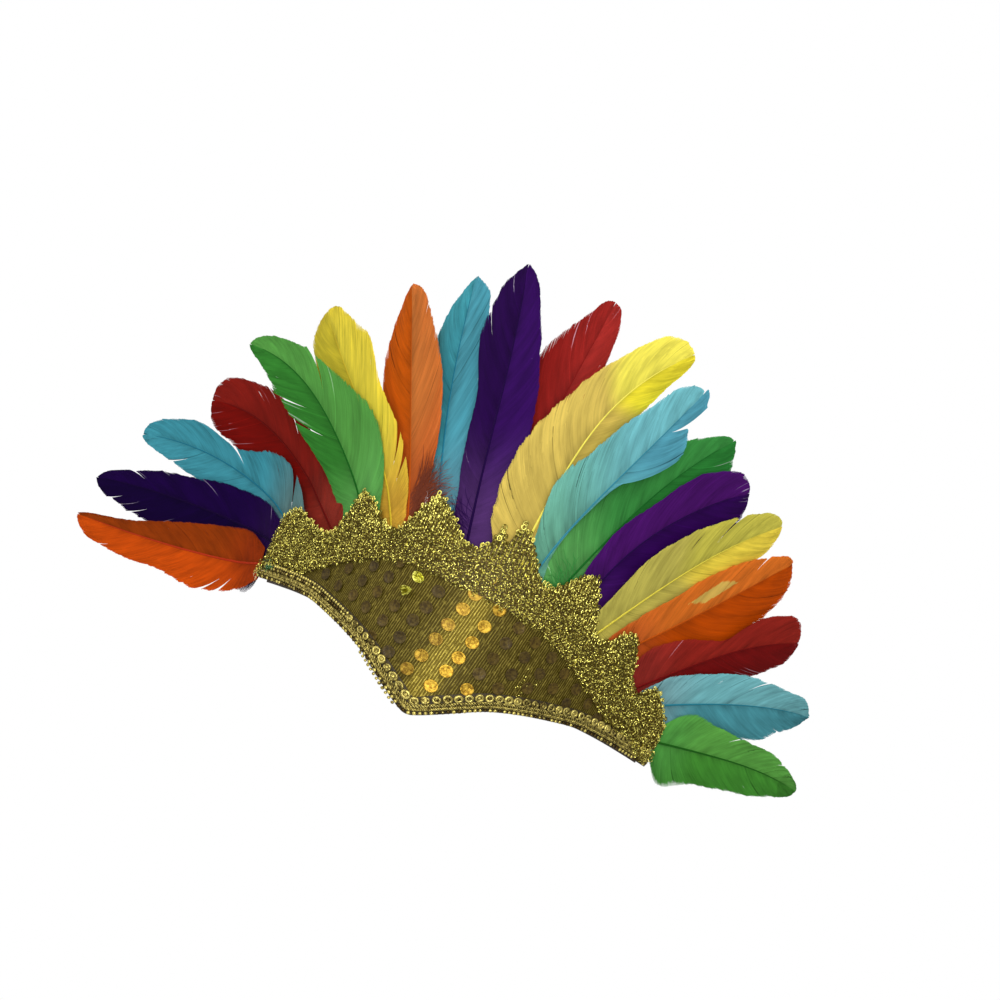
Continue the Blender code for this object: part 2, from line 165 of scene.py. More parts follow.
def lower_edge(arc):
    softened = np.hypot(arc, PEAK_ROUNDING) - PEAK_ROUNDING
    return ARCH_HEIGHT * through_knots(LOWER_EDGE, softened / HALF_ARC)


def upper_edge(arc):
    return PANEL_HEIGHT * through_knots(UPPER_EDGE, np.abs(arc) / HALF_ARC)


def lower_edge_length(arc):
    probe = 0.25 * MM
    return np.hypot(1, (lower_edge(arc + probe) - lower_edge(arc - probe)) / (2 * probe))


def scallop(arc):
    at = np.array([k[0] for k in SCALLOPS])
    high = np.array([k[1] for k in SCALLOPS])
    place = np.clip(arc / HALF_ARC, at[0], at[-1])
    span = np.clip(np.searchsorted(at, place) - 1, 0, len(at) - 2)
    share = (place - at[span]) / (at[span + 1] - at[span])
    eased = 0.5 - 0.5 * np.cos(math.pi * share)
    return SCALLOP_DEPTH * (high[span] + (high[span + 1] - high[span]) * eased)


def lace_top(arc):
    return upper_edge(arc) + LACE_ABOVE_PANEL + scallop(arc)


def lace_edge(arc):
    """The lace's top edge as sewn: one tall scallop is parted into two fingers."""
    return (lace_top(arc) + FINGER_RISE * np.exp(-((arc - FINGER) / FINGER_SPREAD) ** 2)
            - FINGER_GAP_DEPTH * np.exp(-((arc - FINGER_GAP) / FINGER_GAP_SPREAD) ** 2))


def braid_top(arc):
    return lower_edge(arc) - BRAID_OVERHANG + BRAID_WIDTH * lower_edge_length(arc)


def lace_bottom(arc):
    hang = upper_edge(arc) - LACE_OVERLAP * through_knots(LACE_HANG, np.abs(arc) / HALF_ARC)
    return np.maximum(hang, braid_top(arc) + CLEARANCE)


# Node trees

class Flow:
    """A number on its way through a node tree, so that a rule can be written as a formula."""

    def __init__(self, tree, socket):
        self.tree = tree
        self.socket = socket

    def math(self, operation, *others, clamp=False):
        step = self.tree.nodes.new("ShaderNodeMath")
        step.operation = operation
        step.use_clamp = clamp
        for entry, value in zip(step.inputs, (self,) + others):
            if isinstance(value, Flow):
                self.tree.links.new(value.socket, entry)
            else:
                entry.default_value = value
        return Flow(self.tree, step.outputs[0])

    def __add__(self, other):
        return self.math("ADD", other)

    def __sub__(self, other):
        return self.math("SUBTRACT", other)

    def __mul__(self, other):
        return self.math("MULTIPLY", other)

    def __truediv__(self, other):
        return self.math("DIVIDE", other)

    def sin(self):
        return self.math("SINE")

    def cos(self):
        return self.math("COSINE")

    def power(self, exponent):
        return self.math("POWER", exponent)

    def absolute(self):
        return self.math("ABSOLUTE")

    def ramp(self, start, end):
        """0 before start, 1 after end, with a smooth rise between them."""
        step = self.tree.nodes.new("ShaderNodeMapRange")
        step.interpolation_type = "SMOOTHSTEP"
        self.tree.links.new(self.socket, step.inputs["Value"])
        low, high, flip = (start, end, False) if start <= end else (end, start, True)
        step.inputs["From Min"].default_value = low
        step.inputs["From Max"].default_value = high
        step.inputs["To Min"].default_value = 1.0 if flip else 0.0
        step.inputs["To Max"].default_value = 0.0 if flip else 1.0
        return Flow(self.tree, step.outputs["Result"])


def fill(tree, step, inputs):
    """Links a node's inputs, or sets them where a plain value is given."""
    for key, value in inputs.items():
        entry = step.inputs[key]
        if isinstance(value, Flow):
            tree.links.new(value.socket, entry)
        elif isinstance(value, bpy.types.NodeSocket):
            tree.links.new(value, entry)
        else:
            entry.default_value = value


def add_node(tree, kind, inputs=None, **settings):
    step = tree.nodes.new(kind)
    for key, value in settings.items():
        setattr(step, key, value)
    fill(tree, step, inputs or {})
    return step


def geometry_tree(name, sizes):
    """A Geometry Nodes tree that takes a mesh and the named sizes given."""
    tree = bpy.data.node_groups.new(name, "GeometryNodeTree")
    tree.interface.new_socket("Geometry", in_out="INPUT", socket_type="NodeSocketGeometry")
    for label, kind in sizes.items():
        tree.interface.new_socket(label, in_out="INPUT", socket_type=kind)
    tree.interface.new_socket("Geometry", in_out="OUTPUT", socket_type="NodeSocketGeometry")
    entry = tree.nodes.new("NodeGroupInput")
    return tree, entry


def finish_tree(tree, geometry, entry):
    """Realizes the instances, sets the material and closes the tree."""
    real = add_node(tree, "GeometryNodeRealizeInstances", {"Geometry": geometry})
    painted = add_node(tree, "GeometryNodeSetMaterial", {
        "Geometry": real.outputs[0], "Material": entry.outputs["Material"]})
    end = tree.nodes.new("NodeGroupOutput")
    tree.links.new(painted.outputs[0], end.inputs[0])


def read_attribute(tree, name, kind="FLOAT"):
    step = add_node(tree, "GeometryNodeInputNamedAttribute", {"Name": name}, data_type=kind)
    return step.outputs["Attribute"]


def store(tree, geometry, name, value, kind="FLOAT", domain="POINT"):
    step = add_node(tree, "GeometryNodeStoreNamedAttribute",
                    {"Geometry": geometry, "Name": name, "Value": value},
                    data_type=kind, domain=domain)
    return step.outputs["Geometry"]


def position_parts(tree, source=None):
    if source is None:
        source = tree.nodes.new("GeometryNodeInputPosition").outputs[0]
    parts = add_node(tree, "ShaderNodeSeparateXYZ", {0: source})
    return [Flow(tree, parts.outputs[k]) for k in range(3)]


def combine(tree, x, y, z):
    return add_node(tree, "ShaderNodeCombineXYZ", {0: x, 1: y, 2: z}).outputs[0]


def guide_mesh(name, places, columns, edges=()):
    """Guide points, and edges where they form a path, with one named column of numbers each."""
    mesh = bpy.data.meshes.new(name)
    mesh.from_pydata([tuple(p) for p in places], [tuple(e) for e in edges], [])
    for label, values in columns.items():
        values = np.asarray(values, float)
        if values.ndim == 2:
            column = mesh.attributes.new(label, "FLOAT_VECTOR", "POINT")
            column.data.foreach_set("vector", values.ravel())
        else:
            column = mesh.attributes.new(label, "FLOAT", "POINT")
            column.data.foreach_set("value", values)
    return mesh


def put_in_scene(name, data):
    thing = bpy.data.objects.new(name, data)
    bpy.context.scene.collection.objects.link(thing)
    return thing


def dress(piece, slot, stands_for=None):
    """Hides the solid that a piece stands for, if any, and hangs the piece on its body. The slot is
    not used.
    """
    if stands_for:
        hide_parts(stands_for)
    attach(piece, "root")


def grow(name, mesh, tree, sizes, shape):
    """Runs a tree on guide points, shapes the result with shape(places) and returns a plain piece."""
    guide = put_in_scene(name + "_guide", mesh)
    modifier = guide.modifiers.new(tree.name, "NODES")
    modifier.node_group = tree
    for item in tree.interface.items_tree:
        if item.in_out == "INPUT" and item.name in sizes:
            modifier[item.identifier] = sizes[item.name]
    deps = bpy.context.evaluated_depsgraph_get()
    deps.update()
    grown = bpy.data.meshes.new_from_object(guide.evaluated_get(deps), depsgraph=deps)
    bpy.data.objects.remove(guide, do_unlink=True)
    places = np.empty(len(grown.vertices) * 3)
    grown.vertices.foreach_get("co", places)
    grown.vertices.foreach_set("co", shape(places.reshape(-1, 3)).ravel())
    grown.update()
    grown.name = name
    return put_in_scene(name, grown)


def barb_tree():
    """Barbs on both sides of a shaft, and the shaft itself. A guide point stands for each barb."""
    tree, entry = geometry_tree("barbs_on_a_shaft", {
        "Shaft Length": "NodeSocketFloat", "Quill Length": "NodeSocketFloat",
        "Quill Width": "NodeSocketFloat", "Tip Width": "NodeSocketFloat",
        "Barb Thickness": "NodeSocketFloat", "Material": "NodeSocketMaterial"})
    size = {k: Flow(tree, entry.outputs[k]) for k in
            ("Shaft Length", "Quill Length", "Quill Width", "Tip Width", "Barb Thickness")}
    blank = add_node(tree, "GeometryNodeMeshCylinder", {
        "Vertices": 3, "Side Segments": 7, "Radius": 1.0, "Depth": 1.0})
    marked = store(tree, blank.outputs["Mesh"], "blank",
                   tree.nodes.new("GeometryNodeInputPosition").outputs[0], "FLOAT_VECTOR")
    planted = add_node(tree, "GeometryNodeInstanceOnPoints", {
        "Points": entry.outputs["Geometry"], "Instance": marked})
    real = add_node(tree, "GeometryNodeRealizeInstances", {"Geometry": planted.outputs[0]})
    width, thick, run = position_parts(tree, read_attribute(tree, "blank", "FLOAT_VECTOR"))
    t = run + 0.5
    column = {k: Flow(tree, read_attribute(tree, k)) for k in
              ("root", "reach", "lay", "curl", "side", "half", "part", "slit", "lift", "cup")}
    away = column["reach"] * t
    lay = column["lay"] - column["curl"] * t
    breadth = column["half"] * width * (t.power(7.0) * -0.70 + 1.0)
    x = column["side"] * away * lay.sin() - breadth * lay.cos()
    y = (column["root"] + away * lay.cos() + column["side"] * breadth * lay.sin()
         + column["part"] * t.power(2.0)
         + column["slit"] * (((t - 0.40) / 0.55).math("MAXIMUM", 0.0).math("MINIMUM", 1.0)
                             * math.pi).sin().power(2.0))
    z = (size["Barb Thickness"] * thick + column["lift"] * t.power(2.0)
         + column["cup"] * (t * math.pi).sin())
    laid = add_node(tree, "GeometryNodeSetPosition", {
        "Geometry": real.outputs[0], "Position": combine(tree, x, y, z)})
    barbs = store(tree, laid.outputs[0], "out", column["side"] * t)
    barbs = add_node(tree, "GeometryNodeSetShadeSmooth", {
        "Geometry": barbs, "Shade Smooth": False}).outputs[0]

    stem = add_node(tree, "GeometryNodeMeshCylinder", {
        "Vertices": 6, "Side Segments": 60, "Radius": 1.0, "Depth": 1.0})
    width, thick, run = position_parts(tree)
    t = run + 0.5
    radius = (size["Quill Width"] + (size["Tip Width"] - size["Quill Width"])
              * t.power(0.8)) * 0.5
    along = (size["Shaft Length"] + size["Quill Length"]) * t - size["Quill Length"]
    drawn = store(tree, stem.outputs["Mesh"], "along",
                  (along / size["Shaft Length"]).math("MAXIMUM", 0.0))
    drawn = store(tree, drawn, "shaft", 1.0)
    drawn = add_node(tree, "GeometryNodeSetPosition", {
        "Geometry": drawn,
        "Position": combine(tree, width * radius * -1.0, along, thick * radius * 0.8)})
    drawn = add_node(tree, "GeometryNodeSetShadeSmooth", {
        "Geometry": drawn.outputs[0], "Shade Smooth": True})
    both = add_node(tree, "GeometryNodeJoinGeometry")
    tree.links.new(drawn.outputs[0], both.inputs[0])
    tree.links.new(barbs, both.inputs[0])
    finish_tree(tree, both.outputs[0], entry)
    return tree


def placing_tree():
    """One small shape at every guide point, turned and sized as its columns say."""
    tree, entry = geometry_tree("small_shapes_in_place", {
        "Shape": "NodeSocketObject", "Material": "NodeSocketMaterial"})
    shape = add_node(tree, "GeometryNodeObjectInfo", {"Object": entry.outputs["Shape"]})
    turn = add_node(tree, "FunctionNodeEulerToRotation", {
        0: read_attribute(tree, "turn", "FLOAT_VECTOR")})
    placed = add_node(tree, "GeometryNodeInstanceOnPoints", {
        "Points": entry.outputs["Geometry"], "Instance": shape.outputs["Geometry"],
        "Rotation": turn.outputs[0], "Scale": read_attribute(tree, "size", "FLOAT_VECTOR")})
    finish_tree(tree, placed.outputs[0], entry)
    return tree


def twist_tree():
    """Strands twisted round a flat path."""
    tree, entry = geometry_tree("strands_twisted_round_a_path", {
        "Strands": "NodeSocketInt", "Strand Width": "NodeSocketFloat",
        "Twist Width": "NodeSocketFloat", "Twist Depth": "NodeSocketFloat",
        "Twist Pitch": "NodeSocketFloat", "Point Spacing": "NodeSocketFloat",
        "Material": "NodeSocketMaterial"})
    curve = add_node(tree, "GeometryNodeMeshToCurve", {"Mesh": entry.outputs["Geometry"]})
    even = add_node(tree, "GeometryNodeResampleCurve", {
        "Curve": curve.outputs[0], "Length": entry.outputs["Point Spacing"]}, mode="LENGTH")
    several = add_node(tree, "GeometryNodeDuplicateElements", {
        "Geometry": even.outputs[0], "Amount": entry.outputs["Strands"]}, domain="SPLINE")
    run = Flow(tree, tree.nodes.new("GeometryNodeSplineParameter").outputs["Length"])
    number = Flow(tree, several.outputs["Duplicate Index"])
    share = number / Flow(tree, entry.outputs["Strands"])
    angle = (run / Flow(tree, entry.outputs["Twist Pitch"]) + share) * (2 * math.pi)
    way = position_parts(tree, tree.nodes.new("GeometryNodeInputTangent").outputs[0])
    swing = angle.cos() * Flow(tree, entry.outputs["Twist Width"]) * 0.5
    out = angle.sin() * Flow(tree, entry.outputs["Twist Depth"]) * -0.5
    offset = combine(tree, way[2] * swing * -1.0, out, way[0] * swing)
    spun = add_node(tree, "GeometryNodeSetPosition", {
        "Geometry": several.outputs["Geometry"], "Offset": offset})
    ring = add_node(tree, "GeometryNodeCurvePrimitiveCircle", {
        "Resolution": 5, "Radius": (Flow(tree, entry.outputs["Strand Width"]) * 0.5)})
    tube = add_node(tree, "GeometryNodeCurveToMesh", {
        "Curve": spun.outputs[0], "Profile Curve": ring.outputs[0], "Fill Caps": True})
    smooth = add_node(tree, "GeometryNodeSetShadeSmooth", {
        "Geometry": tube.outputs[0], "Shade Smooth": True})
    finish_tree(tree, smooth.outputs[0], entry)
    return tree


# Materials

def dye(red, green, blue):
    """A colour as seen on a screen, 0 to 255, turned into the light that it gives back."""
    out = []
    for value in (red, green, blue):
        value /= 255
        out.append(value / 12.92 if value <= 0.04045 else ((value + 0.055) / 1.055) ** 2.4)
    return (*out, 1.0)


def new_material(name):
    material = bpy.data.materials.new(name)
    material.use_nodes = True
    tree = material.node_tree
    return material, tree, tree.nodes["Principled BSDF"]


def shader_attribute(tree, name):
    return Flow(tree, add_node(tree, "ShaderNodeAttribute", attribute_name=name).outputs["Fac"])


def mix(tree, share, first, second, blend="MIX"):
    step = add_node(tree, "ShaderNodeMix", {0: share, 6: first, 7: second},
                    data_type="RGBA", blend_type=blend)
    return step.outputs[2]


def noise(tree, vector, scale, detail=2.0, roughness=0.5):
    step = add_node(tree, "ShaderNodeTexNoise", {
        "Vector": vector, "Scale": scale, "Detail": detail, "Roughness": roughness})
    return Flow(tree, step.outputs["Fac"])


def shade(tree, colour, amount):
    """Multiplies a colour by a grey value."""
    grey = add_node(tree, "ShaderNodeCombineColor", {0: amount, 1: amount, 2: amount})
    return mix(tree, 1.0, colour, grey.outputs[0], "MULTIPLY")


def bump(tree, shader, height, strength, distance):
    """Raises the surface by a pattern of heights."""
    raised = add_node(tree, "ShaderNodeBump", {
        "Height": height, "Strength": strength, "Distance": distance})
    fill(tree, shader, {"Normal": raised.outputs[0]})


def object_place(tree):
    return tree.nodes.new("ShaderNodeTexCoord").outputs["Object"]


def feather_material(name, row, seed):
    """Dyed goose feather: streaks along the barbs, painted shade by the shaft and near some tips,
    painted highlights and sheen, a paler or stained foot, its own shaft colour.
    """
    material, tree, shader = new_material(name)
    low_reach = row["low_reach"]
    along, out = shader_attribute(tree, "along"), shader_attribute(tree, "out")
    tone, is_shaft = shader_attribute(tree, "tone"), shader_attribute(tree, "shaft")
    colour = mix(tree, out.ramp(-0.04, 0.04), dye(*row["left_dye"]),
                 dye(*row["right_dye"]))
    foot = along + (out.absolute() - 0.5) * 0.12
    colour = mix(tree, foot.ramp(low_reach, low_reach * row["low_fade"]) * 0.85, colour,
                 dye(*row["low_dye"]))
    spread = combine(tree, along * 95.0 + seed, out.absolute() * 2.2 + seed, 0.0)
    broad = combine(tree, along * 22.0 + seed, out * 1.6, 0.5)
    streak = noise(tree, spread, 1.0, 3.0, 0.6)
    cloud = noise(tree, broad, 1.0, 2.0)
    mark = tone * out.absolute().ramp(0.30, 0.80)
    # light mixes the barbs' own streaks and tones with painted light: painted shade next to the
    # shaft, a painted highlight along the vane's outer edge and painted sheen in the broad soft
    # patches.
    light = (streak * 0.40 + cloud * 0.80 + tone * 0.05 + mark * 0.07 + 0.30
             - out.absolute().ramp(0.22, 0.0) * 0.14 + out.absolute().ramp(0.80, 1.0) * 0.08)
    # Painted shade of a fold near the tip: from this place on the vane is painted darker.
    place, darker = row["fold"]
    light = light - (along + out.absolute() * 0.10).ramp(place, place + 0.015) * darker
    if row["window"]:
        place, half_length, middle, half_width = row["window"]
        lens = ((along - place) / half_length).absolute().power(1.3) * -half_width + half_width
        lens = lens - (out + middle).absolute() + tone * 0.02 + streak * 0.05 - 0.025
        colour = mix(tree, lens.ramp(-0.01, 0.02), colour, dye(208, 172, 84))
    colour = shade(tree, colour, light)
    colour = mix(tree, mark.ramp(2.0, 6.0) * 0.38, colour, dye(205, 190, 210))
    colour = mix(tree, shader_attribute(tree, "fluff"), colour, dye(*row["down_dye"]))
    colour = mix(tree, is_shaft, colour, dye(*row["shaft_dye"]))
    fill(tree, shader, {"Base Color": colour, "Roughness": streak * 0.25 + 0.42,
                        "Specular IOR Level": 0.04, "Sheen Weight": 0.02,
                        "Sheen Roughness": 0.4})
    return material


def metal_thread_material(name, bright, dark, roughness, scale, share=0.5, metallic=0.8):
    """Fine metallic yarn: bright and dark threads mixed at random, with glints."""
    material, tree, shader = new_material(name)
    place = object_place(tree)
    grain = noise(tree, place, scale, 3.0, 0.7)
    lit = grain + shader_attribute(tree, "tone") * 0.30
    colour = mix(tree, lit.ramp(share - 0.16, share + 0.16), dye(*dark), dye(*bright))
    fill(tree, shader, {"Base Color": colour, "Metallic": metallic,
                        "Roughness": grain * 0.3 + roughness - 0.15})
    bump(tree, shader, noise(tree, place, scale * 1.8, 2.0), 0.5, 0.15 * MM)
    return material


RIB_PITCH = 1.05 * MM
WEFT_PITCH = 0.55 * MM
RIB_SLANT = math.radians(8.5)


def cloth_material(name):
    """Olive-gold ribbed cloth with metallic threads and a painted highlight down its middle, on flat
    cloth places in metres.
    """
    material, tree, shader = new_material(name)
    place = add_node(tree, "ShaderNodeUVMap", uv_map="cloth")
    turned = add_node(tree, "ShaderNodeMapping", {
        "Vector": place.outputs[0], "Rotation": (0.0, 0.0, RIB_SLANT)})
    parts = add_node(tree, "ShaderNodeSeparateXYZ", {0: turned.outputs[0]})
    across, up = Flow(tree, parts.outputs[0]), Flow(tree, parts.outputs[1])
    wander = noise(tree, combine(tree, across * 60.0, up * 60.0, 0.0), 1.0, 2.0)
    rib = (across + wander * 0.8 * MM) * (2 * math.pi / RIB_PITCH)
    ribs = rib.sin() * 0.5 + 0.5
    weft = ((up + across * 0.6) * (2 * math.pi / WEFT_PITCH)).sin() * 0.5 + 0.5
    cells = add_node(tree, "ShaderNodeTexVoronoi", {
        "Vector": combine(tree, across * 1500.0, up * 800.0, 0.0), "Scale": 1.0})
    chance = Flow(tree, add_node(tree, "ShaderNodeSeparateColor", {
        0: cells.outputs["Color"]}).outputs[0])
    worn = noise(tree, combine(tree, across * 900.0, up * 260.0, 3.0), 1.0, 3.0, 0.7)
    thread = ribs.ramp(0.62, 1.0) * worn.ramp(0.30, 0.62) * 0.75 + chance.ramp(0.80, 0.97) * 0.30
    # Painted highlight: a lighter strip down the middle of the cloth, where it faces the light.
    strip = (across + 1 * MM).absolute().ramp(8 * MM, 3 * MM)
    colour = mix(tree, thread.math("MINIMUM", 1.0), dye(72, 60, 8), dye(160, 144, 62))
    colour = shade(tree, colour, wander * 0.35 + 0.80 + strip * 1.05)
    fill(tree, shader, {"Base Color": colour, "Metallic": 0.35, "Specular IOR Level": 0.2,
                        "Roughness": chance * 0.2 + 0.42})
    bump(tree, shader, ribs * 0.6 + weft * 0.3 + chance * 0.25, 0.6, 0.15 * MM)
    return material


def sequin_material(name):
    """Gold foil on clear film, with painted light: each sequin's tone paints it lit bright gold or
    shaded dark, and the folded ones yellow with painted glints.
    """
    material, tree, shader = new_material(name)
    place = object_place(tree)
    spots = noise(tree, place, 700.0, 3.0, 0.7)
    # The first colour paints lit foil, the next one shaded foil; the tone picks between them.
    bright = mix(tree, spots.ramp(0.40, 0.60), dye(140, 104, 24), dye(206, 168, 58))
    dull = mix(tree, spots.ramp(0.35, 0.65), dye(62, 46, 8), dye(96, 78, 22))
    tone = shader_attribute(tree, "tone")
    dull = shade(tree, dull, tone * 1.6 + 1.0)
    shown = mix(tree, tone.ramp(0.35, 0.85), dull, bright)
    # The folded sequins: yellow foil with painted glints, near white in spots.
    lemon = mix(tree, spots.ramp(0.42, 0.56), dye(120, 112, 12), dye(250, 248, 120))
    shown = mix(tree, tone.ramp(1.3, 1.8), shown, lemon)
    fill(tree, shader, {"Base Color": shown, "Roughness": spots * 0.3 + 0.3,
                        "Metallic": (tone * 0.45 + 0.4).math("MINIMUM", 0.85)})
    bump(tree, shader, noise(tree, place, 620.0, 2.0), 0.5, 0.4 * MM)
    return material


def felt_material(name, colour, fibre):
    """Matted fibres of two colours, with broad paler and darker patches."""
    material, tree, shader = new_material(name)
    place = object_place(tree)
    fluff = noise(tree, place, 1500.0, 4.0, 0.75)
    patch = noise(tree, place, 60.0, 2.0)
    shown = mix(tree, fluff.ramp(0.35, 0.75), dye(*colour), dye(*fibre))
    fill(tree, shader, {"Base Color": shade(tree, shown, patch * 0.5 + 0.75),
                        "Roughness": 0.95, "Sheen Weight": 0.4})
    bump(tree, shader, fluff, 0.7, 0.3 * MM)
    return material


def elastic_material(name):
    """Woven elastic: ribs along the strap and a plain weave across it."""
    material, tree, shader = new_material(name)
    place = add_node(tree, "ShaderNodeUVMap", uv_map="cloth")
    parts = add_node(tree, "ShaderNodeSeparateXYZ", {0: place.outputs[0]})
    along, across = Flow(tree, parts.outputs[0]), Flow(tree, parts.outputs[1])
    ribs = (across * (2 * math.pi / (1.1 * MM))).sin() * 0.5 + 0.5
    picks = (along * (2 * math.pi / (0.8 * MM))).sin() * 0.5 + 0.5
    weave = ribs * 0.6 + picks * ribs * 0.4
    colour = mix(tree, weave, dye(22, 20, 18), dye(74, 68, 60))
    fill(tree, shader, {"Base Color": colour, "Roughness": 0.75, "Sheen Weight": 0.3})
    bump(tree, shader, weave, 0.8, 0.2 * MM)
    return material


# Feathers

def feather(name, seat, rise, fan, reach, free, lean, twist, layer, left, right,
            left_dye, right_dye, low_dye, low_reach, shaft_dye, splits=(), slits=(), down=(),
            down_dye=(120, 60, 40), low_fade=0.15, tip=0.5, window=None, fold=(2.0, 0.0)):
    """One feather. Its seat, rise and lean are the CAD part's; the outline is drawn closer.

    seat and rise are where its root is, as shares of HALF_ARC and PANEL_HEIGHT.
    fan is its turn from upright at the root, the middle and the tip, in degrees.
    reach is its length as a share of FEATHER_LENGTH, and free the share that stays upright
    before it leans back. layer counts steps towards the viewer.
    left and right are the widths of its two sides at WIDTH_PLACES, as shares of VANE_WIDTH.
    low_dye is the foot's dye. It ends at low_reach, and begins to give way at low_fade of that.
    splits opens the vane's edge and slits opens it inside: (side, place along the edge, gap in mm).
    down is soft plumage at the foot: (side, hairs, length in mm).
    tip is 0.5 for a round end and 1 for a pointed one.
    window is a lens of pale barbs in the left vane: place, half length, middle across, half width.
    The fold shade is painted shade near the tip, where it would turn over: where it begins, and how
    much darker the vane is painted from there.
    """
    return locals()


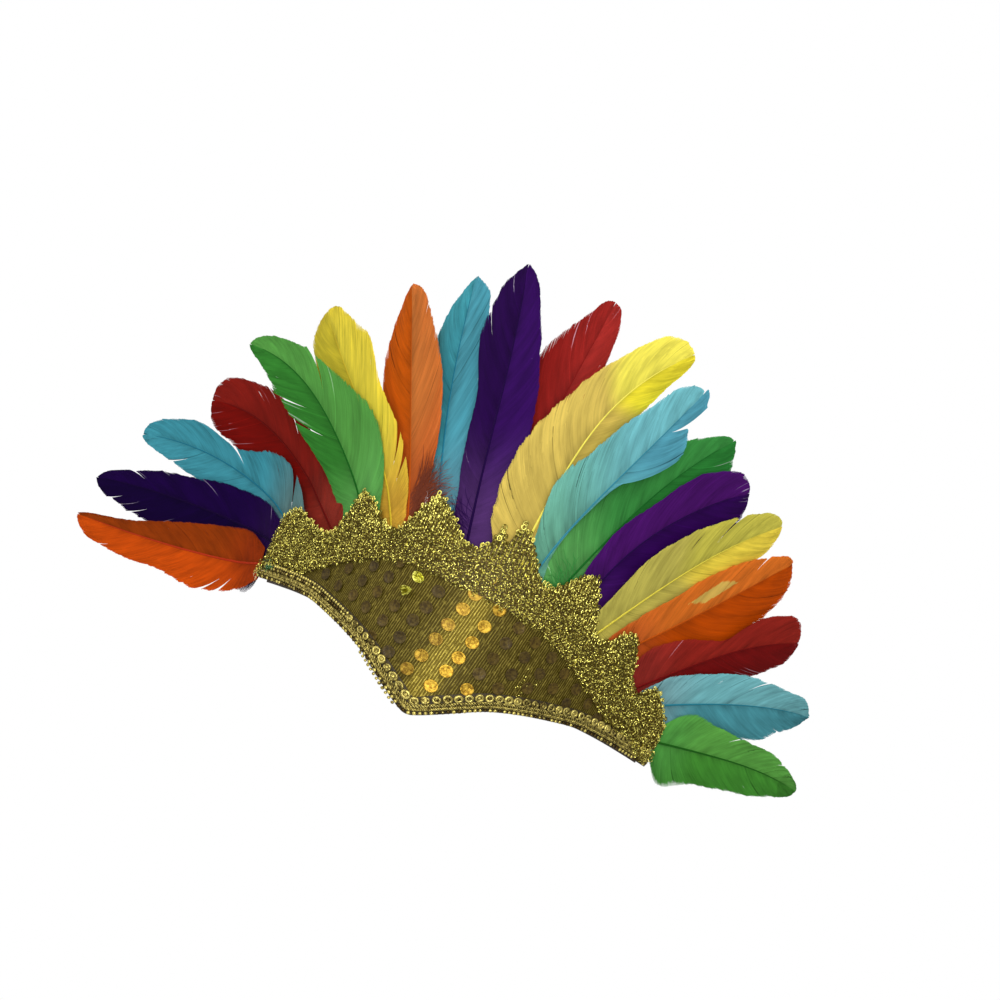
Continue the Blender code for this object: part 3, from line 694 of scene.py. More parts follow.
FEATHERS = [
    feather("feather_01_orange", -1.00, 0.325, (-106, -101, -96), 0.94, 0.12, 25, 6, 0.4,
            (0.85, 1.10, 0.85, 0.80, 0.60), (1.05, 1.00, 0.75, 0.40, 0.20),
            (192, 72, 8), (138, 54, 6), (150, 50, 8), 0.25, (166, 46, 20),
            splits=[(-1, 0.34, 1.0), (-1, 0.26, 0.8), (-1, 0.86, 0.6)],
            slits=[(1, 0.42, 1.0), (1, 0.60, 0.8), (-1, 0.45, 0.6)], tip=0.7),
    feather("feather_02_purple", -0.95, 0.475, (-88, -96, -104), 1.01, 0.15, 23, 8, -0.2,
            (1.90, 1.15, 1.10, 0.98, 0.55), (0.95, 1.00, 0.85, 0.65, 0.35),
            (17, 0, 47), (24, 0, 58), (36, 6, 66), 0.25, (18, 0, 44),
            splits=[(-1, 0.92, 1.6), (-1, 0.82, 1.0), (1, 0.84, 1.6), (1, 0.70, 0.4)],
            slits=[(-1, 0.66, 0.8), (-1, 0.48, 0.7), (1, 0.55, 0.6)], tip=0.8),
    feather("feather_03_blue", -0.84, 0.54, (-66, -84, -106), 1.05, 0.24, 20.5, 8, -0.2,
            (0.50, 0.85, 0.95, 0.85, 0.45), (1.05, 1.30, 0.62, 0.85, 0.62),
            (62, 142, 158), (60, 140, 156), (104, 124, 118), 0.34, (30, 106, 128),
            splits=[(1, 0.58, 2.0), (1, 0.25, 2.6), (-1, 0.84, 1.4)],
            slits=[(1, 0.40, 0.8), (-1, 0.60, 0.6)], tip=0.7),
    feather("feather_04_red", -0.63, 0.68, (-65, -71, -102), 1.085, 0.30, 13, 7, -1,
            (0.75, 1.00, 1.25, 1.25, 0.95), (1.10, 1.05, 1.05, 1.05, 0.90),
            (118, 12, 6), (128, 26, 18), (140, 48, 36), 0.35, (92, 10, 8),
            splits=[(1, 0.74, 0.3)],
            slits=[(1, 0.84, 1.6), (1, 0.62, 2.2), (1, 0.46, 0.9)]),
    feather("feather_05_green", -0.48, 0.80, (-48, -56, -95), 0.99, 0.15, 20, 3, 1,
            (0.90, 1.00, 1.15, 0.98, 0.42), (1.05, 1.60, 1.20, 0.80, 0.50),
            (50, 122, 44), (82, 148, 66), (96, 164, 84), 0.30, (20, 86, 22),
            splits=[(-1, 0.76, 2.6), (-1, 0.64, 3.2), (1, 0.74, 3.2)],
            slits=[(-1, 0.86, 0.8), (1, 0.86, 0.6)], tip=0.7),
    feather("feather_06_yellow", -0.36, 0.875, (-38, -55, -49), 1.00, 0.14, 11, 5, 0,
            (0.60, 0.95, 1.00, 1.20, 1.05), (0.80, 1.00, 1.00, 1.30, 0.78),
            (206, 188, 54), (222, 204, 66), (200, 148, 52), 0.35, (186, 162, 40),
            splits=[(1, 0.62, 0.6), (1, 0.36, 2.4), (1, 0.27, 2.0)],
            slits=[(1, 0.75, 0.7), (1, 0.45, 0.8)], tip=0.5),
    feather("feather_07_orange", -0.29, 0.91, (-30, -34, -35), 1.00, 0.14, 3, 4, -0.3,
            (0.45, 0.80, 1.30, 1.30, 0.62), (0.70, 1.20, 1.35, 1.10, 0.66),
            (196, 88, 8), (200, 115, 52), (180, 80, 34), 0.45, (164, 72, 8),
            splits=[(1, 0.88, 0.3)], slits=[(1, 0.60, 0.5)],
            down=[(1, 190, 25)], down_dye=(124, 62, 42), tip=1.0),
    feather("feather_08_blue", -0.16, 0.97, (-30, -26, -18), 1.015, 0.14, -2, 0, -1,
            (0.45, 0.65, 0.85, 1.25, 0.70), (1.05, 1.10, 1.15, 1.05, 0.80),
            (64, 151, 165), (74, 150, 167), (92, 140, 156), 0.34, (30, 106, 128),
            splits=[(1, 0.62, 0.2)],
            slits=[(-1, 0.62, 0.6)], tip=1.4, fold=(0.93, 0.08)),
    feather("feather_09_purple", -0.05, 0.96, (-14, -11.5, -19), 1.04, 0.14, 2, -2, 0.4,
            (0.55, 0.75, 0.85, 1.25, 0.85), (1.20, 1.10, 1.00, 0.80, 0.50),
            (36, 4, 66), (48, 8, 84), (74, 44, 96), 0.40, (26, 2, 54),
            splits=[(-1, 0.84, 1.2)],
            slits=[(1, 0.74, 0.3)],
            down=[(-1, 24, 16)], down_dye=(40, 10, 70), tip=1.0),
    feather("feather_10_red", 0.01, 0.97, (-2, 2, 5), 1.01, 0.06, -6, 0, -1,
            (0.50, 0.90, 1.35, 1.42, 0.66), (0.40, 0.60, 0.75, 0.75, 0.60),
            (134, 28, 24), (142, 34, 30), (120, 20, 20), 0.25, (116, 18, 16),
            slits=[(1, 0.84, 0.5)]),
    feather("feather_11_yellow", 0.11, 0.97, (1, 8, 45), 1.02, 0.14, 3, -5, 0.4,
            (1.15, 1.40, 1.15, 0.95, 0.85), (0.40, 0.60, 0.75, 0.70, 0.48),
            (230, 218, 84), (224, 208, 50), (190, 162, 82), 0.67, (228, 216, 90),
            slits=[(-1, 0.84, 0.5), (-1, 0.70, 0.5), (1, 0.82, 0.4)], low_fade=0.85),
    feather("feather_12_blue", 0.175, 0.965, (10, 18, 17), 0.90, 0.14, 7, -3, 1,
            (0.60, 1.15, 1.10, 0.95, 0.72), (0.10, 0.05, 0.24, 0.98, 0.42),
            (107, 177, 186), (80, 152, 172), (94, 152, 120), 0.64, (52, 126, 144),
            splits=[(1, 0.915, 7.0), (1, 0.60, 1.0)], slits=[(-1, 0.56, 0.6)]),
    feather("feather_13_green", 0.285, 0.935, (18, 28, 46), 0.92, 0.14, -2, 0, -1,
            (1.20, 1.40, 1.20, 0.92, 0.42), (0.45, 0.65, 0.90, 1.20, 0.95),
            (54, 132, 60), (40, 118, 48), (86, 150, 80), 0.35, (24, 96, 34),
            splits=[(1, 0.93, 3.6)], tip=0.7,
            down=[(-1, 30, 12), (1, 20, 10)], down_dye=(60, 140, 66)),
    feather("feather_14_purple", 0.40, 0.85, (4, 37, 60), 0.89, 0.14, 0, -5, 0,
            (0.60, 0.85, 0.90, 1.08, 0.86), (0.85, 1.00, 1.25, 1.40, 1.15),
            (68, 16, 96), (44, 4, 76), (58, 18, 88), 0.30, (32, 4, 62),
            slits=[(-1, 0.66, 0.7), (-1, 0.36, 0.6)]),
    feather("feather_15_yellow", 0.485, 0.80, (34, 41, 56), 0.93, 0.14, 0, -6, 1,
            (0.70, 1.10, 1.15, 0.95, 0.60), (1.00, 1.00, 1.15, 1.05, 0.75),
            (192, 184, 74), (234, 210, 72), (176, 166, 80), 0.50, (204, 190, 66),
            splits=[(-1, 0.80, 2.2)], slits=[(-1, 0.66, 1.4)], tip=0.6, low_fade=0.7),
    feather("feather_16_orange", 0.58, 0.73, (50, 47, 46), 0.91, 0.14, 0, -6, 1,
            (0.80, 0.95, 1.08, 0.96, 0.52), (0.90, 1.25, 1.62, 1.66, 1.05),
            (210, 108, 34), (184, 71, 0), (176, 78, 34), 0.30, (170, 72, 8),
            splits=[(-1, 0.88, 1.2)], slits=[(1, 0.70, 0.4)], window=(0.485, 0.135, 0.42, 0.18)),
    feather("feather_17_red", 0.74, 0.60, (52, 57, 74), 0.86, 0.14, 0, -6, 1,
            (1.10, 0.95, 0.50, 0.95, 0.95), (0.70, 0.85, 0.95, 1.05, 0.80),
            (140, 34, 26), (112, 14, 14), (138, 42, 36), 0.30, (104, 12, 12),
            slits=[(1, 0.62, 1.2)]),
    feather("feather_18_blue", 0.825, 0.55, (69, 74, 85), 0.886, 0.14, 3, -6, 1,
            (0.90, 1.00, 1.00, 0.72, 0.56), (0.90, 1.05, 1.15, 1.10, 0.55),
            (110, 175, 182), (72, 144, 156), (120, 160, 166), 0.30, (40, 118, 136),
            splits=[(-1, 0.70, 1.0), (1, 0.86, 0.6)],
            slits=[(-1, 0.50, 0.7)], tip=1.0, fold=(0.79, 0.16)),
    feather("feather_19_green", 0.985, 0.40, (84, 86, 98), 0.81, 0.14, 4, -6, 1,
            (1.10, 0.92, 0.76, 0.68, 0.32), (1.30, 1.05, 1.00, 0.85, 0.45),
            (87, 155, 66), (66, 138, 48), (78, 150, 66), 0.25, (28, 88, 20),
            splits=[(-1, 0.52, 1.0), (-1, 0.84, 0.6)],
            slits=[(1, 0.55, 0.5), (1, 0.75, 0.5)], fold=(0.85, 0.2)),
]

# Outline and barbs of a vane, in shares of the shaft. Its foot and its tip have closer barbs.
WIDTH_PLACES = (0.15, 0.35, 0.55, 0.75, 0.93)
BASE_WIDTH_SHARE = 0.45
TIP_START = 0.90
FIRST_BARB = 0.012
FOOT_END = 0.34
CLOSE_TIP = 0.83
SHAFT_SHARE = 0.955
DRAWN_SHAFT = 0.975
SHAFT_TIP_WIDTH = 0.35 * MM
BARB_SPACING = 0.5 * MM
BARB_HALF_WIDTH = 0.40 * MM
BARB_THICKNESS = 0.055 * MM
HAIR_HALF_WIDTH = 0.14 * MM
BARB_LAY = [(0.0, 104), (0.07, 78), (0.2, 52), (0.6, 40), (0.83, 33), (SHAFT_SHARE, 6)]
MOST_CURL = math.radians(14)
MARKED_SHARE = 0.012
PALE_MARK = 6.0
DARK_MARK = -5.0
DEEP_DYE = 250
# How much a split or a slit opens for its gap, and how far along the vane it fades
OPENINGS = {"splits": (1.7, 7 * MM), "slits": (0.5, 4 * MM)}


def vane_width(row, side, share):
    """Width of one side of a vane. Near the tip it closes as an oval, or to a point."""
    widths = row["left" if side < 0 else "right"]
    knots = [(0.0, BASE_WIDTH_SHARE)] + list(zip(WIDTH_PLACES, widths)) + [(1.0, widths[-1])]
    close = np.clip((share - TIP_START) / (1 - TIP_START), 0, 1)
    return VANE_WIDTH * through_knots(knots, share) * (1 - close ** 2) ** row["tip"]


def barb_reach(row, side, roots, end_lay, length):
    """How long each barb grows before it meets the vane's outline."""
    trial = np.linspace(0.4, 60, 500)[None, :] * MM
    across = trial * np.sin(end_lay)[:, None]
    along = roots[:, None] + trial * np.cos(end_lay)[:, None]
    inside = (across < vane_width(row, side, along / length)) & (along < length)
    return trial[0, np.argmin(inside, axis=1)]


def smooth_chance(rng, count, spacing):
    """Random numbers from -1 to 1 that change smoothly, with one knot every few places."""
    knots = rng.uniform(-1, 1, int(count / spacing) + 4)
    return np.interp(np.arange(count) / spacing, np.arange(len(knots)), knots)


def barbs_of_side(row, rng, side, length):
    """Where each barb of one side starts, how it grows and lies, and how the splits push it."""
    step = BARB_SPACING / length
    share = np.concatenate([np.arange(FIRST_BARB, FOOT_END, step / 2),
                            np.arange(FOOT_END, CLOSE_TIP, step),
                            np.arange(CLOSE_TIP, SHAFT_SHARE, step / 2)])
    roots = share * length
    count = len(roots)
    lay = np.radians(through_knots(BARB_LAY, share))
    lay = lay + np.radians(1.6) * smooth_chance(rng, count, 9)
    curl = np.minimum(MOST_CURL, 0.4 * lay)
    end_lay = lay - curl
    reach = barb_reach(row, side, roots, end_lay, length)
    calm = np.interp(share, [0.0, 0.7, 0.95], [1.0, 0.8, 0.35])
    reach *= 1 + calm * (0.022 * smooth_chance(rng, count, 5)
                         + 0.03 * smooth_chance(rng, count, 31)
                         + rng.uniform(-0.012, 0.012, count))
    edge = (roots + reach * np.cos(end_lay)) / length
    pushes = {"splits": 0.35 * MM * calm * smooth_chance(rng, count, 7),
              "slits": 0.12 * MM * smooth_chance(rng, count, 6)}
    for kind, (gain, spread) in OPENINGS.items():
        for on, place, gap in row[kind]:
            if on == side:
                away = (edge - place) * length
                wide = (gap * gain + 2 * BARB_HALF_WIDTH / MM) * MM / 2
                pushes[kind] += np.where(away >= 0, 1, -1) * wide * np.exp(-np.abs(away) / spread)
    lift = -0.5 * MM + 0.35 * MM * smooth_chance(rng, count, 22)
    cup = 0.35 * MM + 0.1 * MM * smooth_chance(rng, count, 15)
    tones = rng.uniform(-1, 1, count)
    marked = rng.random(count) < MARKED_SHARE
    tones[marked] = PALE_MARK if sum(row["left_dye"]) < DEEP_DYE else DARK_MARK
    return {"root": roots, "reach": reach, "lay": lay, "curl": curl,
            "side": np.full(count, side, float), "half": np.full(count, BARB_HALF_WIDTH),
            "part": pushes["splits"], "slit": pushes["slits"], "lift": lift, "cup": cup,
            "tone": tones, "along": share, "fluff": np.zeros(count)}


def hairs_of_side(rng, side, hairs, long, length):
    """Soft down at the foot of one side."""
    roots = rng.uniform(0.02, 0.15, hairs) * length
    return {"root": roots, "reach": long * MM * rng.uniform(0.70, 1.1, hairs),
            "lay": np.radians(rng.uniform(42, 80, hairs)),
            "curl": np.radians(rng.uniform(-35, 35, hairs)),
            "side": np.full(hairs, side, float), "half": np.full(hairs, HAIR_HALF_WIDTH),
            "part": rng.uniform(-1.5, 1.5, hairs) * MM,
            "slit": rng.uniform(-1.0, 1.0, hairs) * MM,
            "lift": rng.uniform(0.0, 1.0, hairs) * MM, "cup": rng.uniform(0.2, 0.8, hairs) * MM,
            "tone": rng.uniform(-1, 1, hairs), "along": roots / length,
            "fluff": np.ones(hairs)}


def barb_columns(row, seed):
    rng = np.random.default_rng(seed)
    length = row["reach"] * FEATHER_LENGTH
    groups = []
    for side in (-1, 1):
        groups.append(barbs_of_side(row, rng, side, length))
        groups += [hairs_of_side(rng, side, hairs, long, length)
                   for on, hairs, long in row["down"] if on == side]
    return {k: np.concatenate([group[k] for group in groups]) for k in groups[0]}


def feather_shape(row):
    """The rule that takes a straight feather onto the flat band, and then round the head."""
    length = row["reach"] * FEATHER_LENGTH
    fan = [(0.0, row["fan"][0]), (0.5, row["fan"][1]), (1.0, row["fan"][2])]
    steps = 240
    runs = np.linspace(0, length, steps + 1)
    middles = np.radians(through_knots(fan, (runs[:-1] + runs[1:]) / 2 / length))
    pace = length / steps
    arcs = row["seat"] * HALF_ARC + np.concatenate([[0], np.cumsum(pace * np.sin(middles))])
    heights = row["rise"] * PANEL_HEIGHT + np.concatenate([[0], np.cumsum(pace * np.cos(middles))])
    turns = np.radians(through_knots(fan, runs / length))

    def shape(straight):
        across, along, proud = straight[:, 0], straight[:, 1], straight[:, 2]
        inside = np.clip(along, 0, length)
        turn = np.interp(inside, runs, turns)
        over = along - inside
        arc = np.interp(inside, runs, arcs) + over * np.sin(turn) + across * np.cos(turn)
        height = np.interp(inside, runs, heights) + over * np.cos(turn) - across * np.sin(turn)
        past = np.maximum(0.0, along - row["free"] * length)
        lean = math.tan(math.radians(row["lean"])) * (np.hypot(past, LEAN_BLEND) - LEAN_BLEND)
        twist = (math.sin(math.radians(row["twist"]))
                 * np.clip(along / TWIST_START, 0, 1) * across)
        depth = QUILL_DEPTH + row["layer"] * LAYER_STEP + lean + twist + proud
        return bend(np.stack([arc, -depth, height], axis=1))

    return shape


def make_feathers():
    tree = barb_tree()
    for number, row in enumerate(FEATHERS, 1):
        colour = row["name"].split("_")[-1]
        material = feather_material(f"dyed_{colour}_{number:02d}", row, number * 3.7)
        columns = barb_columns(row, number)
        places = np.zeros((len(columns["root"]), 3))
        mesh = guide_mesh("barb_roots", places, columns)
        piece = grow(f"plume_{number:02d}_{colour}", mesh, tree, {
            "Shaft Length": row["reach"] * FEATHER_LENGTH * DRAWN_SHAFT,
            "Quill Length": QUILL_INSET, "Quill Width": QUILL_DIAMETER,
            "Tip Width": SHAFT_TIP_WIDTH, "Barb Thickness": BARB_THICKNESS,
            "Material": material}, feather_shape(row))
        dress(piece, "feather_" + colour, row["name"])


# Band

def piece_from(name, places, faces, material, uvs):
    mesh = bpy.data.meshes.new(name)
    mesh.from_pydata([tuple(p) for p in places], [], faces)
    layer = mesh.uv_layers.new(name="cloth")
    corners = np.empty(len(mesh.loops), int)
    mesh.loops.foreach_get("vertex_index", corners)
    layer.data.foreach_set("uv", np.asarray(uvs)[corners].ravel())
    mesh.materials.append(material)
    mesh.shade_smooth()
    mesh.set_sharp_from_angle(angle=math.radians(50))
    mesh.update()
    return put_in_scene(name, mesh)


def loft_faces(rings, sides):
    """Faces of a closed body through rings of the same number of points, with a fan at each end."""
    faces = []
    for r in range(rings - 1):
        for k in range(sides):
            after = (k + 1) % sides
            faces.append((r * sides + k, (r + 1) * sides + k,
                          (r + 1) * sides + after, r * sides + after))
    faces.append(tuple(range(sides)))
    faces.append(tuple(reversed(range((rings - 1) * sides, rings * sides))))
    return faces


def sew(name, places, uvs, sides, material, slot, stands_for, width, length):
    """A sheet from the points round its sections. Its flat area is half of its surface."""
    piece = piece_from(name, places, loft_faces(len(places) // sides, sides), material, uvs)
    dress(piece, slot, stands_for)
    area = sum(face.area for face in piece.data.polygons) / 2


def sheet_section(arc, low, high, rows, front, back, rounding=0.0):
    """Points round a flat sheet at one arc: up its front face and down its back."""
    points = []
    for depth, outwards, order in ((front, -1, range(rows)), (back, 1, reversed(range(rows)))):
        for k in order:
            eased = outwards * rounding if k in (0, rows - 1) else 0.0
            points.append((arc, -(depth + eased), low + (high - low) * (k / (rows - 1))))
    return points


def arc_places(count):
    share = np.linspace(-1, 1, count + 1)
    half = HALF_ARC - np.where(share < 0, LEFT_TRIM, RIGHT_TRIM)
    return half * (0.55 * share + 0.45 * share * np.abs(share))


def make_cloth(material):
    """Sequin cloth over the board, with its hem turned in."""
    rows = 26
    places, uvs = [], []
    for arc in arc_places(200):
        low, high = float(lower_edge(arc)), float(upper_edge(arc))
        section = []
        for k in range(rows):
            share = k / (rows - 1)
            height = low + (high - low) * share
            wrinkle = (0.16 * math.sin(arc / (9 * MM) + 5 * share)
                       * math.sin(height / (11 * MM) + 1.3)
                       + 0.07 * math.sin(arc / (3.4 * MM) - 2 * share + height / (6 * MM)))
            edge = min(1.0, 8 * share, 8 * (1 - share))
            section.append((PANEL_FRONT + (wrinkle * 0.8 - 0.1) * MM * edge, height, height))
        section += [(PANEL_BACK, high, high + PANEL_WALL),
                    (PANEL_BACK, low + HEM_WIDTH, low - HEM_WIDTH - PANEL_WALL),
                    (ROOM_START, low + HEM_WIDTH, low - HEM_WIDTH),
                    (ROOM_START, low, low - HEM_WIDTH / 2)]
        for depth, height, cloth in section:
            places.append((arc, -depth, height))
            uvs.append((arc, cloth))
    sew("sequin_cloth", bend(np.array(places)), uvs, rows + 4, material, "sequin_cloth",
        "front_panel", PANEL_HEIGHT + 4 * HEM_WIDTH, 2 * HALF_ARC)


def make_lining(material):
    rows = 10
    places = []
    for arc in arc_places(160):
        low = float(lower_edge(arc)) - LINING_RIM
        high = float(upper_edge(arc)) - LINING_STEP_DOWN
        places += sheet_section(arc, low, high, rows, LINING_WALL, 0.0, 0.25 * MM)
    uvs = [(arc, height) for arc, _, height in places]
    sew("felt_lining", bend(np.array(places)), uvs, 2 * rows, material, "lining_felt",
        "back_lining", PANEL_HEIGHT, 2 * HALF_ARC)


def small_shape(name, places, faces):
    mesh = bpy.data.meshes.new(name)
    mesh.from_pydata(places, [], faces)
    mesh.shade_smooth()
    mesh.update()
    return put_in_scene(name, mesh)


def lathe(name, profile, sides):
    """A turned shape round its own z axis; the profile runs from the top outwards and down."""
    places = []
    for radius, height in profile:
        for k in range(sides):
            angle = 2 * math.pi * k / sides
            places.append((radius * math.cos(angle), radius * math.sin(angle), height))
    return small_shape(name, places, loft_faces(len(profile), sides))


def spindle(name, width, length):
    """A short stitch: thick in the middle, with a point at each end."""
    places = [(0, length, 0), (width, 0, 0), (0, 0, width), (-width, 0, 0), (0, 0, -width),
              (0, -length, 0)]
    sides = [(1, 2), (2, 3), (3, 4), (4, 1)]
    return small_shape(name, places,
                       [(0, b, a) for a, b in sides] + [(5, a, b) for a, b in sides])


def loop_shape(name, width, height, thickness, sides, cord):
    """An oval loop of cord."""
    places, faces = [], []
    for k in range(sides):
        angle = 2 * math.pi * k / sides
        for j in range(cord):
            turn = 2 * math.pi * j / cord
            grow_out = thickness * math.cos(turn)
            places.append(((width + grow_out) * math.cos(angle),
                           (height + grow_out) * math.sin(angle), thickness * math.sin(turn)))
    for k in range(sides):
        for j in range(cord):
            a, b = (k + 1) % sides, (j + 1) % cord
            faces.append((k * cord + j, a * cord + j, a * cord + b, k * cord + b))
    return small_shape(name, places, faces)


def place_shapes(name, tree, shape, spots, material, slot):
    """Small shapes on the flat band. spots holds their places, turns, sizes and tones.

    A turn is tilt, spin in the cloth, and yaw, in radians.
    """
    places, turns, sizes, tones = (np.asarray(column, float) for column in spots)
    euler = np.stack([math.pi / 2 + turns[:, 0], -turns[:, 1], turns[:, 2]], axis=1)
    mesh = guide_mesh(name + "_places", places, {"turn": euler, "size": sizes, "tone": tones})
    piece = grow(name, mesh, tree, {"Shape": shape, "Material": material}, bend)
    bpy.data.objects.remove(shape, do_unlink=True)
    dress(piece, slot)


def add_spot(spots, *values):
    for column, value in zip(spots, values):
        column.append(value)


# Sequins: their profile in mm, how far they keep from the cloth's edges, and the folded ones
SEQUIN_PROFILE = [(0.12, 0.04), (1.1, 0.02), (2.1, 0.12), (2.85, 0.30), (3.0, 0.26),
                  (2.85, 0.18), (2.1, 0.0), (1.1, -0.1), (0.12, -0.08)]
SEQUIN_SIZE = (0.92, 0.92, 1.0)
SEQUIN_BELOW_TOP = 6 * MM
SEQUIN_OVER_BRAID = 1.2 * MM
SEQUIN_FROM_END = 8 * MM
FOLDED_SEQUINS = {(-2, 1): (0.25, 0.9), (-2, 2): (-0.3, 2.2)}
# Light on the columns in the middle, which face the viewer
LIT_COLUMNS = {1: 0.95, 0: 0.68}
LIT_LOW_COLUMN = 2
LIT_LOW_TOP = 22 * MM
LIT_LOW = 0.9
# Tone that paints the folded sequins yellow with painted glints
YELLOW_FOIL = 2.0


def sequin_rows():
    """Places of the sequins in the cloth's own lattice."""
    for column in range(-9, 9):
        for row in range(-1, 9):
            pitch, drop = (10.5, 2.2) if column > 0 else (10.2, 2.7)
            arc = 4.5 + pitch * column - 0.1 * column * column - 2.1 * row
            height = 58.4 - drop * column - 0.17 * column * column - 8.3 * row
            yield column, row, arc * MM, height * MM


def make_sequins(tree, material):
    rng = np.random.default_rng(71)
    shape = lathe("sequin_blank", [(r * MM, h * MM) for r, h in SEQUIN_PROFILE], 20)
    flat, folded = ([], [], [], []), ([], [], [], [])
    for column, row, arc, height in sequin_rows():
        if height > upper_edge(arc) - SEQUIN_BELOW_TOP:
            continue
        if height < braid_top(arc) - SEQUIN_OVER_BRAID or abs(arc) > HALF_ARC - SEQUIN_FROM_END:
            continue
        jitter = rng.uniform(-0.5, 0.5, 2) * MM
        tilt = rng.normal(0, 0.05, 2)
        if (column, row) in FOLDED_SEQUINS:
            tip, spin = FOLDED_SEQUINS[(column, row)]
            place = (arc + jitter[0], -(PANEL_FRONT + 0.6 * MM), height + jitter[1])
            add_spot(folded, place, (tip, spin, 0.2), SEQUIN_SIZE, YELLOW_FOIL)
            continue
        place = (arc + jitter[0], -(PANEL_FRONT + 0.45 * MM), height + jitter[1])
        turn = (tilt[0], rng.uniform(0, 6.28), tilt[1])
        lit = LIT_COLUMNS.get(column, 0.0)
        if column == LIT_LOW_COLUMN and height < LIT_LOW_TOP:
            lit = LIT_LOW
        tone = lit + rng.uniform(-0.24, 0.16) * (0.35 if lit else 1.0)
        add_spot(flat, place, turn, SEQUIN_SIZE, tone)
    crease = put_in_scene("folded_blank", shape.data.copy())
    for point in crease.data.vertices:
        x, y, z = point.co
        point.co = (x * 0.80, y * 0.95, z + 0.75 * abs(x) + 0.25 * abs(y + 0.6 * x))
    place_shapes("sequins", tree, shape, flat, material, "sequin_cloth")
    place_shapes("folded_sequins", tree, crease, folded, material, "sequin_cloth")


# Lace: columns of chained stitches, and how far its ends wrap down to the braid
LACE_START = -HALF_ARC + LEFT_TRIM
LACE_END = HALF_ARC - LACE_SHORT_OF_END
LACE_FRONT = TRIM_BACK + 0.6 * MM
LACE_OVER_BRAID = TRIM_BACK + 1.9 * MM
LACE_PITCH = 1.6 * MM
LACE_STEP = 0.56 * MM
LACE_WRAP_LEFT = 11 * MM
LACE_WRAP_RIGHT = 22 * MM
LACE_EDGE_LOOPS = 1.6 * MM
CHAINED_FROM = -60 * MM
CHAINED_TO = 75 * MM
STITCH_WIDTH = 0.26 * MM
STITCH_LENGTH = 0.46 * MM
YARN_TONES = [-1.4, -0.5, 0.3, 1.8]
YARN_CHANCES = [0.30, 0.25, 0.24, 0.21]
# Long loops on the lace's edge: arc, and height above the edge, in mm
LACE_FINGERS = [(3.6, 4.4), (9.8, 1.6), (-26.0, 0.4), (-68.5, 0.5)]
# Tufts of thread at the left end: name, colour, count, arc and height in mm
THREAD_TUFTS = [("green_thread", (34, 104, 34), 40, -110.5, 25.6),
                ("cream_thread", (206, 186, 140), 10, -116.0, 19.0)]


def make_lace_ground(material):
    """The dark net under the lace's stitches."""
    rows = 6
    places = []
    for arc in np.linspace(LACE_START, LACE_END, 360):
        low = float(lace_bottom(arc)) + CLEARANCE
        high = float(lace_edge(arc)) - LACE_EDGE_LOOPS
        places += sheet_section(arc, low, high, rows, LACE_FRONT, TRIM_BACK)
    uvs = [(arc, height) for arc, _, height in places]
    sew("lace_ground", bend(np.array(places)), uvs, 2 * rows, material, "gold_lace",
        "lace_trim", LACE_OVERLAP + LACE_ABOVE_PANEL + SCALLOP_DEPTH, 2 * HALF_ARC)


def lace_column(rng, arc, stitches, loops):
    """One column of stitches, in pairs like a chain, with a loop on its top."""
    low = float(lace_bottom(arc)) + rng.uniform(-1.8, 0.8) * MM
    wrap = LACE_WRAP_RIGHT if arc > 0 else LACE_WRAP_LEFT
    wrapped = min(1.0, max(0.0, (abs(arc) - LACE_END + wrap) / (0.6 * wrap)))
    low += (float(lower_edge(arc)) - low) * wrapped
    low += 0.5 * max(0.0, abs(arc) - LACE_END + 5 * MM)
    high = float(lace_edge(arc)) + rng.uniform(-1.6, 0.5) * MM
    for k in range(int((high - low) / LACE_STEP)):
        for hand in (-1, 1):
            height = low + LACE_STEP * (k + 0.5)
            chained = height > upper_edge(arc) + 1 * MM and CHAINED_FROM < arc < CHAINED_TO
            loose = 0.25 if chained else 1.0
            height += loose * rng.uniform(-0.4, 0.4) * MM
            aside = (hand * (0.28 if chained else 0.40) + loose * rng.uniform(-0.4, 0.4)) * MM
            proud = LACE_FRONT if height > braid_top(arc) else LACE_OVER_BRAID
            place = (arc + aside, -(proud + rng.uniform(0.1, 0.75) * MM), height)
            turn = (rng.normal(0, 0.5), hand * 0.5 + loose * rng.normal(0, 0.9),
                    loose * rng.normal(0, 0.5))
            size = (rng.uniform(0.8, 1.3), rng.uniform(0.8, 1.4), 1.0)
            tone = rng.choice(YARN_TONES, p=YARN_CHANCES)
            tone += 0.35 * math.exp(-((arc - 18 * MM) / (22 * MM)) ** 2)
            add_spot(stitches, place, turn, size, tone)
    place = (arc + rng.uniform(-0.2, 0.2) * MM, -(LACE_FRONT + rng.uniform(0.1, 0.6) * MM),
             high - 0.6 * MM)
    add_spot(loops, place, (rng.normal(0, 0.25), rng.normal(0, 0.2), rng.normal(0, 0.3)),
             (0.85, rng.uniform(0.8, 1.2), 1.0), rng.choice([-0.6, 0.3, 1.2]))


